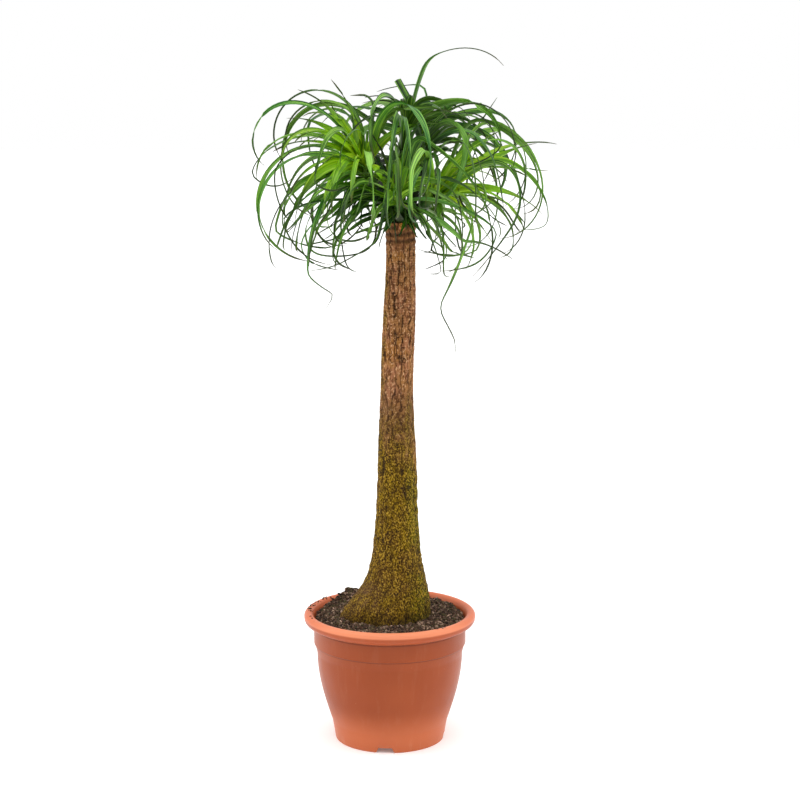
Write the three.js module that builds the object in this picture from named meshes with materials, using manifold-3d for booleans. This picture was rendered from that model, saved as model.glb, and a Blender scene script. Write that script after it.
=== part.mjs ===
// Potted ponytail palm: a tall trunk on a swollen foot carries five leafy shoots at its top.
// It stands in soil in a plain plastic nursery pot.
// Millimetres, +Z up, the front faces -Y, the origin is the middle of the pot's underside.
import * as THREE from "three";
import { mergeVertices } from "three/addons/utils/BufferGeometryUtils.js";
import Module from "manifold-3d";

const wasm = await Module();
wasm.setup();

const GAP = 0.4;

const POT = {
  sides: 40,
  wall: 2.4,
  padRadius: 32,
  padDraft: 2.5,
  footRadius: 98.8,
  footWidth: 4.8,
  footDraft: 1.5,
  channelHeight: 10.5,
  floorTop: 13,
  floorInset: 0.2,
  kneeRadius: 104.5,
  kneeHeight: 34,
  bellySwell: 27,
  bellyTop: 160,
  bellySteps: 6,
  insideSteps: 4,
  collarRadius: 137.5,
  collarBottom: 178,
  collarTop: 210.6,
  hemRadius: 141.5,
  hemHeight: 211,
  bevel: [[151, 215.5], [154.3, 220]],
  rimRadius: 155,
  rimRoll: 8.5,
  rimRollHeight: 226.3,
  rimRollTurn: 150,
  rimRollSteps: 5,
  insideLip: 217,
};
const DRAIN = {
  notches: 4,
  holes: 4,
  notchTurn: -94.7,
  notchWidth: 33,
  notchTopWidth: 24,
  notchHeight: 9,
  notchDepth: 16,
  notchReach: 3,
  holeRadius: 6,
  holeDepth: 10,
  holeSides: 8,
  holeCircle: 64,
};
const SOIL = {
  edgeHeight: 219,
  middleHeight: 224,
  rings: 5,
  levelAt: 0.5,
  trunkGap: 0.5,
  lump: 1.5,
  backRise: 6,
  backStart: [-40, 110],
  heapX: -86,
  heapY: 92,
  heapHeight: 14,
  heapSpread: 34,
};
const TRUNK = {
  sides: 28,
  bottom: 150,
  ground: 222,
  top: 936,
  topRadius: 25.2,
  slowFlare: 31,
  slowFall: 220,
  foot: 25,
  footFall: 62,
  footBulge: 4,
  footTaper: 22,
  middleX: 12.7,
  topShift: 6.3,
  footShift: 22,
  footShiftFall: 50,
  frontSquash: 0.12,
  squashFall: 80,
  lobe: 4.5,
  lobeHeight: 205,
  lobeFall: 85,
  swelling: 0.8,
  swellingStart: [240, 330],
  scarPitch: 12,
  scarDepth: 0.7,
  scarStart: [868, 888],
  leanStart: [560, 890],
};
// Where the trunk's rings lie: far apart on the straight stem, close together on the foot and the scars.
const TRUNK_RINGS = [
  { from: TRUNK.bottom, to: TRUNK.ground, step: 18 },
  { from: TRUNK.ground, to: 330, step: 13 },
  { from: 331, to: 860, step: 36 },
  { from: 866, to: TRUNK.top, step: TRUNK.scarPitch / 2 },
];
const SEAT = {
  height: TRUNK.top + 0.3,
  middleX: 19,
  ring: 15,
};
const NECK = {
  baseRadius: 8,
  swell: 3.5,
  tipRadius: 7.5,
  sides: 10,
  steps: 6,
  dome: 6,
  domeShare: 0.6,
  rootDepth: 4,
};

// Each shoot stands on the trunk's top at its seat angle, bends by its knee and ends at its tip.
const SHOOTS = [
  { name: "left", seatAngle: 200, knee: [-18, -16, 978], tip: [-47, -27, 1042], leaves: 24, phase: 20 },
  { name: "front", seatAngle: 270, knee: [17, -27, 960], tip: [15, -47, 984], leaves: 20, phase: 84 },
  { name: "right", seatAngle: 340, knee: [48, -9, 955], tip: [83, -18, 986], leaves: 23, phase: 140 },
  { name: "back", seatAngle: 50, knee: [50, 30, 1000], tip: [62, 42, 1083], leaves: 20, phase: 200 },
  { name: "top", seatAngle: 125, knee: [12, 22, 1010], tip: [31, 14, 1104], leaves: 18, phase: 300 },
];

// The leaves that show one by one. A leaf leaves its shoot at the share `from` of the shoot's length,
// heads along its azimuth at the angle `rise` above the level, and turns down by `turn` in all:
// late with a large `bend`. `roll` and `twist` turn its flat side. A kink is [share, angle, spread].
const SHOWN = {
  left: [
    { azimuth: 165, rise: 108, turn: 232, bend: 1.12, length: 333, width: 11, roll: 20, twist: 60, from: 1 },
    { azimuth: 200, rise: 62, turn: 205, bend: 1.8, length: 320, width: 11, roll: 30, twist: 80, from: 1 },
    { azimuth: 150, rise: 110, turn: 196, bend: 1.05, length: 218, width: 12, roll: 35, twist: 30, from: 1 },
    { azimuth: 185, rise: 112, turn: 228, bend: 1.1, length: 272, width: 10, roll: 30, twist: 60, from: 1 },
    { azimuth: 215, rise: 78, turn: 0, bend: 1, length: 80, width: 13, roll: 50, twist: 10, from: 1 },
    { azimuth: 170, rise: 63, turn: 0, bend: 1, length: 112, width: 10, roll: 40, twist: 20, from: 1 },
    { azimuth: 190, rise: 44, turn: 140, bend: 1.6, length: 240, width: 11, roll: 30, twist: 90, from: 0.98 },
    { azimuth: 208, rise: 30, turn: 75, bend: 0.65, length: 142, width: 14, roll: 40, twist: 40, from: 0.9 },
    { azimuth: 215, rise: 20, turn: 170, bend: 1.7, length: 338, width: 13, roll: 40, twist: 60, from: 0.95 },
    {
      azimuth: 180, rise: 44, turn: 220, bend: 1.05, length: 392, width: 11, roll: 20, twist: 100,
      from: 0.96,
    },
    {
      azimuth: 238, rise: 34, turn: 0, bend: 1, length: 210, width: 14, roll: 45, twist: 20, from: 0.88,
      kinks: [[0.1, -110, 0.45], [0.55, 40, 0.35]],
    },
    {
      azimuth: 225, rise: 28, turn: 140, bend: 0.52, length: 340, width: 13, roll: 40, twist: 120, from: 0.84,
      kinks: [[0.68, -50, 0.08], [0.9, 110, 0.05]],
    },
    {
      azimuth: 338, rise: 62, turn: 38, bend: 3, length: 220, width: 13, roll: 60, twist: 10, from: 1,
      kinks: [[0.38, -48, 0.12]],
    },
  ],
  front: [
    {
      azimuth: 250, rise: 98, turn: 12, bend: 1, length: 368, width: 13, roll: 60, twist: 20, from: 1,
      drift: -80, kinks: [[0.14, -165, 0.14], [0.6, 50, 0.12], [0.82, 20, 0.15]],
    },
    {
      azimuth: -42, rise: 72, turn: 128, bend: 3.1, length: 440, width: 14, roll: 50, twist: 30, from: 1,
      kinks: [[0.19, -95, 0.1]],
    },
    {
      azimuth: -42, rise: -20, turn: 62, bend: 0.8, length: 178, width: 10, roll: 40, twist: 40, from: 0.75,
      kinks: [[0.82, -95, 0.08]],
    },
    {
      azimuth: 145, rise: 56, turn: 0, bend: 1, length: 225, width: 10, roll: 50, twist: 30, from: 1,
      kinks: [[0.3, 40, 0.25], [0.68, -100, 0.25]],
    },
  ],
  right: [
    { azimuth: 20, rise: 62, turn: 10, bend: 1, length: 195, width: 7, roll: 30, twist: 0, from: 1 },
    {
      azimuth: -8, rise: 70, turn: 160, bend: 4, length: 376, width: 12, roll: 30, twist: 60, from: 1,
      kinks: [[0.27, -90, 0.2]],
    },
    {
      azimuth: 6, rise: 64, turn: 175, bend: 2.2, length: 447, width: 11, roll: 30, twist: 80, from: 0.97,
      kinks: [[0.26, -70, 0.16]],
    },
    {
      azimuth: 14, rise: 64, turn: 6, bend: 1, length: 232, width: 8, roll: 30, twist: 30, from: 1,
      kinks: [[0.18, -64, 0.1]],
    },
    {
      azimuth: -48, rise: 30, turn: 30, bend: 1, length: 420, width: 14, roll: 40, twist: 60, from: 1,
      kinks: [[0.24, -140, 0.5]],
    },
    {
      azimuth: -35, rise: -18, turn: 112, bend: 1.4, length: 165, width: 14, roll: 50, twist: 30,
      from: 0.95,
    },
    {
      azimuth: -45, rise: 14, turn: 30, bend: 1, length: 375, width: 13, roll: 40, twist: 60, from: 0.88,
      kinks: [[0.08, -115, 0.3], [0.72, 75, 0.12], [0.92, -30, 0.06]],
    },
    {
      azimuth: -50, rise: -58, turn: 20, bend: 1, length: 165, width: 11, roll: 40, twist: 30, from: 0.8,
      kinks: [[0.5, -85, 0.25]],
    },
  ],
  back: [
    {
      azimuth: 182, rise: 104, turn: 42, bend: 1, length: 168, width: 8, roll: 30, twist: 30, from: 1,
      kinks: [[0.42, -80, 0.2]],
    },
    { azimuth: 2, rise: 82, turn: 165, bend: 0.75, length: 192, width: 13, roll: 40, twist: 20, from: 1 },
  ],
  top: [
    {
      azimuth: -5, rise: 79, turn: 97, bend: 2.2, length: 257, width: 12, roll: 30, twist: 60, from: 1,
      kinks: [[0.36, -33, 0.2]],
    },
    {
      azimuth: 160, rise: 97, turn: 0, bend: 1, length: 82, width: 10, roll: 50, twist: 0, from: 1,
      cut: true, kinks: [[0.5, -38, 0.08]],
    },
    { azimuth: -25, rise: 84, turn: 208, bend: 1.35, length: 130, width: 13, roll: 50, twist: 20, from: 1 },
  ],
};

const LEAF = {
  stepLength: 42,
  fewestSteps: 4,
  mostSteps: 10,
  substeps: 8,
  tipWidth: 1.1,
  taper: 0.85,
  baseShare: 0.6,
  fullWidthAt: 0.15,
  keelBase: 0.84,
  keelPerWidth: 0.04,
  cutWidth: 0.8,
  swayWaves: 1.7,
  twistBend: 1.3,
};
// The seeded leaves: each value starts at its first number, and the draw or the age adds to it.
const DRAWN = {
  lowest: 0.6,
  turnBetween: 137.508,
  looseness: 24,
  loosenPerTry: 1.5,
  loosenTries: 80,
  spread: 10,
  spreadWithAge: 86,
  spreadBend: 0.85,
  spreadRange: 22,
  length: 300,
  lengthWithAge: 150,
  lengthAge: 1.15,
  lengthRange: 90,
  shortenByTries: 0.55,
  hangingShare: 0.85,
  turn: 80,
  turnRange: 110,
  leastTurn: 40,
  bendRange: 0.9,
  bendWithAge: 0.5,
  width: 9.5,
  widthRange: 4.5,
  roll: 30,
  rollRange: 60,
  twistRange: 340,
  driftRange: 90,
  sway: 4,
  swayRange: 8,
  kinkChance: 0.4,
  kinkFrom: 0.5,
  kinkRange: 0.4,
  kinkTurn: 70,
  kinkSpread: 0.05,
};

// The space round the crown, as a grid of small cells that each hold the first shoot that reached it.
const SPACE = {
  cell: 3,
  low: [-330, -330, 640],
  count: 234,
  trunkId: 9,
  trunkRadius: 28,
  trunkStep: 2,
  neckSamples: 60,
  samplesPerStep: 20,
  tries: 300,
  crowding: 8,
};
const CROWN = {
  middle: [20, 0, 985],
  reach: [262, 258, 174],
  roundness: 2.6,
  clearHalfWidth: 40,
  clearBack: 12,
  clearBelow: 922,
  ownClear: 50,
};

const COLOURS = {
  pot: 0xc5683f,
  soil: 0x2b1f18,
  trunk: 0x7a5a36,
  left: 0x5fa02a,
  front: 0x3f8f2c,
  right: 0x86b324,
  back: 0x2d7038,
  top: 0x3a8440,
};

function radians(degrees) {
  return (degrees * Math.PI) / 180;
}

function smooth(low, high, value) {
  return THREE.MathUtils.smoothstep(value, low, high);
}

function bell(distance, spread) {
  return Math.exp(-((distance / spread) ** 2));
}

// Solids

function solidOf(geometry) {
  const bare = geometry.clone();
  bare.deleteAttribute("normal");
  bare.deleteAttribute("uv");
  const merged = mergeVertices(bare, 1e-4);
  const vertProperties = new Float32Array(merged.attributes.position.array);
  const triVerts = new Uint32Array(merged.index.array);
  return new wasm.Manifold(new wasm.Mesh({ numProp: 3, vertProperties, triVerts }));
}

// The largest body of a joined solid: a loose scrap goes and a sealed hollow is filled.
function mainBody(solid) {
  return solid.decompose().reduce((best, next) => (next.volume() > best.volume() ? next : best));
}

function geometryOf(solid) {
  const mesh = solid.getMesh();
  const geometry = new THREE.BufferGeometry();
  geometry.setAttribute("position", new THREE.BufferAttribute(mesh.vertProperties, 3));
  geometry.setIndex(new THREE.BufferAttribute(mesh.triVerts, 1));
  geometry.computeVertexNormals();
  return geometry;
}

// Whether the crease from a to c of the face a, b, c, d stands out, and not in.
function standsOut(a, b, c, d) {
  const normal = new THREE.Vector3().crossVectors(b.clone().sub(a), c.clone().sub(a));
  return d.clone().sub(a).dot(normal) <= 0;
}

// A closed body through rings of points, each ring counter-clockwise seen from the next one.
// In a blade each face between two rings is split so that its crease stands out.
function loft(rings, isBlade = false) {
  const sides = rings[0].length;
  const points = rings.flat();
  const faces = [];
  for (let ring = 0; ring + 1 < rings.length; ring += 1) {
    for (let side = 0; side < sides; side += 1) {
      const a = ring * sides + side;
      const b = ring * sides + ((side + 1) % sides);
      const c = b + sides;
      const d = a + sides;
      if (!isBlade || standsOut(points[a], points[b], points[c], points[d])) {
        faces.push([a, b, c], [a, c, d]);
      } else {
        faces.push([a, b, d], [b, c, d]);
      }
    }
  }
  const caps = [
    { first: 0, ring: rings[0], outward: false },
    { first: points.length - sides, ring: rings[rings.length - 1], outward: true },
  ];
  for (const { first, ring, outward } of caps) {
    const centre = points.length;
    const middle = new THREE.Vector3();
    ring.forEach((point) => middle.addScaledVector(point, 1 / sides));
    points.push(middle);
    for (let side = 0; side < sides; side += 1) {
      const a = first + side;
      const b = first + ((side + 1) % sides);
      faces.push(outward ? [a, b, centre] : [b, a, centre]);
    }
  }
  const geometry = new THREE.BufferGeometry().setFromPoints(points);
  geometry.setIndex(faces.flat());
  return geometry;
}

function latheUpright(outline, sides) {
  const profile = outline.map(([radius, height]) => new THREE.Vector2(radius, height));
  return new THREE.LatheGeometry(profile, sides).rotateX(Math.PI / 2);
}

function mesh(name, solid, colour, roughness) {
  const material = new THREE.MeshStandardMaterial({ color: colour, roughness, metalness: 0 });
  const part = new THREE.Mesh(geometryOf(solid), material);
  part.name = name;
  return part;
}

// Pot

function bellyRadius(height) {
  const share = (height - POT.kneeHeight) / (POT.bellyTop - POT.kneeHeight);
  return POT.kneeRadius + POT.bellySwell * Math.sin((share * Math.PI) / 2);
}

// The wall's outside from the knee to the rim, moved inwards for the inside and for the soil.
function wallOutline(inset, steps) {
  const outline = [];
  for (let step = 0; step <= steps; step += 1) {
    const height = THREE.MathUtils.lerp(POT.kneeHeight, POT.bellyTop, step / steps);
    outline.push([bellyRadius(height) - inset, height]);
  }
  outline.push([POT.collarRadius - inset, POT.collarBottom]);
  return outline;
}

function potOutline() {
  const footInside = POT.footRadius - POT.footWidth;
  const under = [
    [0, 0],
    [POT.padRadius, 0],
    [POT.padRadius + POT.padDraft, POT.channelHeight],
    [footInside - POT.footDraft, POT.channelHeight],
    [footInside, 0],
    [POT.footRadius, 0],
  ];
  const lip = [[POT.collarRadius, POT.collarTop], [POT.hemRadius, POT.hemHeight], ...POT.bevel];
  const rollMiddle = POT.rimRadius - POT.rimRoll;
  const roll = [];
  for (let step = 0; step <= POT.rimRollSteps; step += 1) {
    const angle = radians((POT.rimRollTurn * step) / POT.rimRollSteps);
    const height = POT.rimRollHeight + POT.rimRoll * Math.sin(angle);
    roll.push([rollMiddle + POT.rimRoll * Math.cos(angle), height]);
  }
  const inside = wallOutline(POT.wall, POT.insideSteps).reverse();
  return [
    ...under,
    ...wallOutline(0, POT.bellySteps),
    ...lip,
    ...roll,
    [POT.collarRadius - POT.wall, POT.insideLip],
    ...inside,
    [POT.footRadius - POT.floorInset, POT.floorTop],
    [0, POT.floorTop],
  ];
}

function drainNotch(index) {
  const shape = new THREE.Shape();
  shape.moveTo(-DRAIN.notchWidth / 2, -1);
  shape.lineTo(DRAIN.notchWidth / 2, -1);
  shape.lineTo(DRAIN.notchTopWidth / 2, DRAIN.notchHeight);
  shape.lineTo(-DRAIN.notchTopWidth / 2, DRAIN.notchHeight);
  const cutter = new THREE.ExtrudeGeometry(shape, { depth: DRAIN.notchDepth, bevelEnabled: false });
  cutter.rotateX(Math.PI / 2);
  cutter.translate(0, POT.footRadius + DRAIN.notchReach, 0);
  cutter.rotateZ(radians(DRAIN.notchTurn - 90 + (360 * index) / DRAIN.notches));
  return solidOf(cutter);
}

function drainHole(index) {
  const angle = radians(DRAIN.notchTurn + (360 * (index + 0.5)) / DRAIN.holes);
  const { holeRadius, holeDepth, holeSides, holeCircle } = DRAIN;
  const cutter = new THREE.CylinderGeometry(holeRadius, holeRadius, holeDepth, holeSides);
  cutter.rotateX(Math.PI / 2);
  cutter.translate(holeCircle * Math.cos(angle), holeCircle * Math.sin(angle), POT.channelHeight);
  return solidOf(cutter);
}

function makePot() {
  let pot = solidOf(latheUpright(potOutline(), POT.sides));
  for (let index = 0; index < DRAIN.notches; index += 1) pot = pot.subtract(drainNotch(index));
  for (let index = 0; index < DRAIN.holes; index += 1) pot = pot.subtract(drainHole(index));
  return pot;
}

// Trunk

function trunkRadius(height) {
  const above = Math.max(height - TRUNK.ground, 0);
  const below = Math.max(TRUNK.ground - height, 0) / (TRUNK.ground - TRUNK.bottom);
  const flare = TRUNK.slowFlare * Math.exp(-above / TRUNK.slowFall);
  const foot = TRUNK.foot * bell(above, TRUNK.footFall);
  const buried = TRUNK.footBulge * Math.sin(Math.PI * below) - TRUNK.footTaper * below ** 2;
  return TRUNK.topRadius + flare + foot + buried;
}

function trunkMiddle(height) {
  const above = Math.max(height - TRUNK.ground, 0);
  const lean = TRUNK.topShift * smooth(...TRUNK.leanStart, height);
  return TRUNK.middleX + lean - TRUNK.footShift * bell(above, TRUNK.footShiftFall);
}

// Root lobes round the foot, slow swellings up the stem and leaf-scar rings under the shoots.
function trunkRelief(angle, height) {
  const lobes = Math.cos(5 * angle + 0.6) + 0.55 * Math.cos(8 * angle - 1.2);
  const swelling = Math.sin(height / 37 + 2 * angle) + Math.sin(height / 61 - 3 * angle);
  const scars = Math.cos((2 * Math.PI * (TRUNK.top - height)) / TRUNK.scarPitch);
  return (
    TRUNK.lobe * bell(height - TRUNK.lobeHeight, TRUNK.lobeFall) * lobes +
    TRUNK.swelling * smooth(...TRUNK.swellingStart, height) * swelling +
    TRUNK.scarDepth * smooth(...TRUNK.scarStart, height) * scars
  );
}

function trunkHeights() {
  const heights = [];
  for (const { from, to, step } of TRUNK_RINGS) {
    for (let height = from; height < to; height += step) heights.push(height);
  }
  return [...heights, TRUNK.top];
}

function makeTrunk(grow) {
  const heights = trunkHeights();
  const rings = heights.map((height, level) => {
    const above = Math.max(height - TRUNK.ground, 0);
    const squash = 1 - TRUNK.frontSquash * bell(above, TRUNK.squashFall);
    const drop = level === 0 ? grow : 0;
    const ring = [];
    for (let side = 0; side < TRUNK.sides; side += 1) {
      const angle = (2 * Math.PI * side) / TRUNK.sides;
      const radius = trunkRadius(height) + trunkRelief(angle, height) + grow;
      const x = trunkMiddle(height) + radius * Math.cos(angle);
      ring.push(new THREE.Vector3(x, radius * Math.sin(angle) * squash, height - drop));
    }
    return ring;
  });
  return solidOf(loft(rings));
}

// Soil

// Waves across the surface in two directions, the slow rise to the back and the heap at the back left.
function soilLift(x, y) {
  const large = Math.sin(x / 9 + 1) * Math.cos(y / 11);
  const small = Math.sin((x + y) / 6.5) * Math.cos((x - y) / 8);
  const fromHeap = Math.hypot(x - SOIL.heapX, y - SOIL.heapY);
  const rise = SOIL.backRise * smooth(...SOIL.backStart, y);
  return SOIL.lump * (large + 0.7 * small) + rise + SOIL.heapHeight * bell(fromHeap, SOIL.heapSpread);
}

function makeSoil() {
  const inset = POT.wall + GAP;
  const floor = POT.floorTop + GAP;
  const bottomRadius = POT.footRadius - POT.floorInset - GAP;
  const outline = [[0, floor], [bottomRadius, floor], ...wallOutline(inset, POT.insideSteps)];
  const edge = POT.collarRadius - inset;
  for (let ring = 0; ring <= SOIL.rings; ring += 1) {
    const share = ring / SOIL.rings;
    const rise = smooth(0, SOIL.levelAt, share);
    outline.push([edge * (1 - share), THREE.MathUtils.lerp(SOIL.edgeHeight, SOIL.middleHeight, rise)]);
  }
  const geometry = latheUpright(outline, POT.sides);
  const position = geometry.attributes.position;
  for (let index = 0; index < position.count; index += 1) {
    const height = position.getZ(index);
    if (height > POT.collarTop) {
      position.setZ(index, height + soilLift(position.getX(index), position.getY(index)));
    }
  }
  return mainBody(solidOf(geometry).subtract(makeTrunk(SOIL.trunkGap)));
}

// Shoots

function seatOf(shoot) {
  const angle = radians(shoot.seatAngle);
  const x = SEAT.middleX + SEAT.ring * Math.cos(angle);
  return new THREE.Vector3(x, SEAT.ring * Math.sin(angle), SEAT.height);
}

function shootCurve(shoot) {
  return new THREE.QuadraticBezierCurve3(
    seatOf(shoot),
    new THREE.Vector3(...shoot.knee),
    new THREE.Vector3(...shoot.tip),
  );
}

// The heading of a shoot's curve at a share of it, from the curve's three points.
function shootHeading(shoot, share) {
  const seat = seatOf(shoot);
  const knee = new THREE.Vector3(...shoot.knee);
  const tip = new THREE.Vector3(...shoot.tip);
  const start = knee.clone().sub(seat).multiplyScalar(1 - share);
  return start.addScaledVector(tip.sub(knee), share).normalize();
}

// Two directions square to an axis, the first one level with the X-Z plane.
function squareTo(axis) {
  const first = new THREE.Vector3(axis.z, 0, -axis.x).normalize();
  return [first, new THREE.Vector3().crossVectors(axis, first)];
}

function ringAround(middle, first, second, radius, sides) {
  const ring = [];
  for (let side = 0; side < sides; side += 1) {
    const angle = (2 * Math.PI * side) / sides;
    const point = middle.clone();
    point.addScaledVector(first, radius * Math.cos(angle));
    point.addScaledVector(second, radius * Math.sin(angle));
    ring.push(point);
  }
  return ring;
}

function makeNeck(curve) {
  const level = [new THREE.Vector3(1, 0, 0), new THREE.Vector3(0, 1, 0)];
  const rings = [];
  for (let step = 0; step <= NECK.steps; step += 1) {
    const share = step / NECK.steps;
    const [first, second] = step === 0 ? level : squareTo(curve.getTangent(share));
    const swell = NECK.swell * Math.sin(Math.PI * share);
    const radius = THREE.MathUtils.lerp(NECK.baseRadius, NECK.tipRadius, share) + swell;
    rings.push(ringAround(curve.getPoint(share), first, second, radius, NECK.sides));
  }
  const axis = curve.getTangent(1);
  const crown = curve.getPoint(1).addScaledVector(axis, NECK.dome);
  rings.push(ringAround(crown, ...squareTo(axis), NECK.tipRadius * NECK.domeShare, NECK.sides));
  return solidOf(loft(rings));
}

// Leaves

function leafWidth(share, leaf) {
  const grow = LEAF.baseShare + (1 - LEAF.baseShare) * Math.min(share / LEAF.fullWidthAt, 1);
  const width = leaf.width * grow * (1 - share) ** LEAF.taper;
  return Math.max(width, leaf.cut ? LEAF.cutWidth * leaf.width : LEAF.tipWidth);
}

function keelDepth(width) {
  return LEAF.keelBase + LEAF.keelPerWidth * width;
}

// Elevation of the leaf's heading at a share of its length.
function leafElevation(share, leaf) {
  let angle = leaf.rise - leaf.turn * share ** leaf.bend;
  const wave = LEAF.swayWaves * share + (leaf.swayStart ?? 0);
  angle += (leaf.sway ?? 0) * Math.sin(2 * Math.PI * wave);
  for (const [start, turn, spread] of leaf.kinks ?? []) {
    angle += turn * smooth(start, start + spread, share);
  }
  return radians(angle);
}

// Stations along a leaf: the middle, the flat's half-width vector and the keel vector of its section.
function leafStations(leaf, root) {
  const wanted = Math.ceil(leaf.length / LEAF.stepLength);
  const steps = THREE.MathUtils.clamp(wanted, LEAF.fewestSteps, LEAF.mostSteps);
  const fine = steps * LEAF.substeps;
  const outwards = radians(leaf.azimuth);
  const point = root.clone();
  point.x += NECK.rootDepth * Math.cos(outwards);
  point.y += NECK.rootDepth * Math.sin(outwards);
  const stations = [];
  let heading = null;
  let level = null;
  const place = (share) => {
    const roll = radians(leaf.roll + leaf.twist * share ** LEAF.twistBend);
    const normal = new THREE.Vector3().crossVectors(level, heading);
    const width = leafWidth(share, leaf);
    const flat = level.clone().multiplyScalar(Math.cos(roll)).addScaledVector(normal, Math.sin(roll));
    const keel = level.clone().multiplyScalar(Math.sin(roll)).addScaledVector(normal, -Math.cos(roll));
    flat.multiplyScalar(width / 2);
    keel.multiplyScalar(keelDepth(width));
    stations.push({ middle: point.clone(), flat, keel });
  };
  for (let step = 0; step < fine; step += 1) {
    const share = (step + 0.5) / fine;
    const elevation = leafElevation(share, leaf);
    const azimuth = radians(leaf.azimuth + (leaf.drift ?? 0) * share * share);
    const ahead = Math.cos(elevation);
    heading = new THREE.Vector3(ahead * Math.cos(azimuth), ahead * Math.sin(azimuth), Math.sin(elevation));
    level = new THREE.Vector3(-Math.sin(azimuth), Math.cos(azimuth), 0);
    if (step === 0) place(0);
    point.addScaledVector(heading, leaf.length / fine);
    if ((step + 1) % LEAF.substeps === 0) place((step + 1) / fine);
  }
  return stations;
}

// A blade has one flat side and a keel along the other.
function makeBlade(stations) {
  const rings = stations.map(({ middle, flat, keel }) => [
    middle.clone().add(flat),
    middle.clone().add(keel),
    middle.clone().sub(flat),
  ]);
  return solidOf(loft(rings, true));
}

// The crown's space

const spaceGrid = new Uint8Array(SPACE.count ** 3);

function cellOf(x, y, z) {
  const place = (value, low) => {
    const cell = Math.floor((value - low) / SPACE.cell);
    return Math.min(Math.max(cell, 1), SPACE.count - 2);
  };
  const [lowX, lowY, lowZ] = SPACE.low;
  return (place(x, lowX) * SPACE.count + place(y, lowY)) * SPACE.count + place(z, lowZ);
}

function markCells(cells, id) {
  const row = SPACE.count;
  for (const cell of cells) {
    for (let i = -1; i <= 1; i += 1) {
      for (let j = -1; j <= 1; j += 1) {
        for (let k = -1; k <= 1; k += 1) {
          const near = cell + (i * row + j) * row + k;
          if (spaceGrid[near] === 0) spaceGrid[near] = id;
        }
      }
    }
  }
}

// Eight rows of points over a leaf: seven across its flat side and one along its keel.
const SAMPLE_ROWS = [-1, -2 / 3, -1 / 3, 0, 1 / 3, 2 / 3, 1, null];
// Points round a stem, in degrees, on three circles inside one another.
const TUBE_TURN = 15;
const TUBE_SHARES = [1, 0.65, 0.3];

function leafCells(stations) {
  const rows = [];
  for (const across of SAMPLE_ROWS) {
    const offset = (station) => (across === null ? station.keel : station.flat);
    const weight = across === null ? 1 : across;
    const row = [];
    const total = (stations.length - 1) * SPACE.samplesPerStep;
    for (let sample = 0; sample <= total; sample += 1) {
      const along = sample / SPACE.samplesPerStep;
      const index = Math.min(Math.floor(along), stations.length - 2);
      const part = along - index;
      const here = stations[index];
      const next = stations[index + 1];
      const at = (axis) =>
        (here.middle[axis] + offset(here)[axis] * weight) * (1 - part) +
        (next.middle[axis] + offset(next)[axis] * weight) * part;
      row.push(cellOf(at("x"), at("y"), at("z")));
    }
    rows.push(row);
  }
  return rows;
}

function tubeCells(points, radius) {
  const cells = [];
  for (const point of points) {
    for (let turn = 0; turn < 360; turn += TUBE_TURN) {
      for (const share of TUBE_SHARES) {
        const x = point.x + radius * share * Math.cos(radians(turn));
        const y = point.y + radius * share * Math.sin(radians(turn));
        cells.push(cellOf(x, y, point.z));
      }
    }
  }
  return cells;
}

function markStems(curves) {
  const trunk = [];
  const first = SPACE.low[2] + 5;
  for (let height = first; height < TRUNK.top; height += SPACE.trunkStep) {
    trunk.push(new THREE.Vector3(SEAT.middleX, 0, height));
  }
  markCells(tubeCells(trunk, SPACE.trunkRadius), SPACE.trunkId);
  curves.forEach((curve, index) => {
    markCells(tubeCells(curve.getPoints(SPACE.neckSamples - 1), NECK.baseRadius), index + 1);
  });
}

// Inside the rounded box of the crown, and not in front of the bare trunk.
function insideCrown(stations) {
  return stations.slice(1).every(({ middle }) => {
    const far = ["x", "y", "z"].reduce((sum, axis, index) => {
      const share = Math.abs(middle[axis] - CROWN.middle[index]) / CROWN.reach[index];
      return sum + share ** CROWN.roundness;
    }, 0);
    const beforeTrunk =
      Math.abs(middle.x - SEAT.middleX) < CROWN.clearHalfWidth &&
      middle.y < CROWN.clearBack &&
      middle.z < CROWN.clearBelow;
    return far <= 1 && !beforeTrunk;
  });
}

// Whether a leaf is clear of the other shoots, and past its root mostly clear of its own.
function isClear(rows, leaf, id, attempt) {
  const samples = rows[0].length;
  let crowded = 0;
  for (let sample = 0; sample < samples; sample += 1) {
    let own = false;
    for (const row of rows) {
      const found = spaceGrid[row[sample]];
      if (found !== 0 && found !== id) return false;
      if (found === id) own = true;
    }
    const pastRoot = (sample * leaf.length) / (samples - 1) > CROWN.ownClear;
    if (own && pastRoot) crowded += 1;
  }
  return crowded <= SPACE.crowding + attempt;
}

// Seeded draw: a 32-bit generator that gives the same numbers everywhere.
function seededDraw(seed) {
  let state = seed >>> 0;
  return () => {
    state = (state + 0x6d2b79f5) >>> 0;
    let mixed = Math.imul(state ^ (state >>> 15), 1 | state);
    mixed = (mixed + Math.imul(mixed ^ (mixed >>> 7), 61 | mixed)) ^ mixed;
    return ((mixed ^ (mixed >>> 14)) >>> 0) / 4294967296;
  };
}

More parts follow.
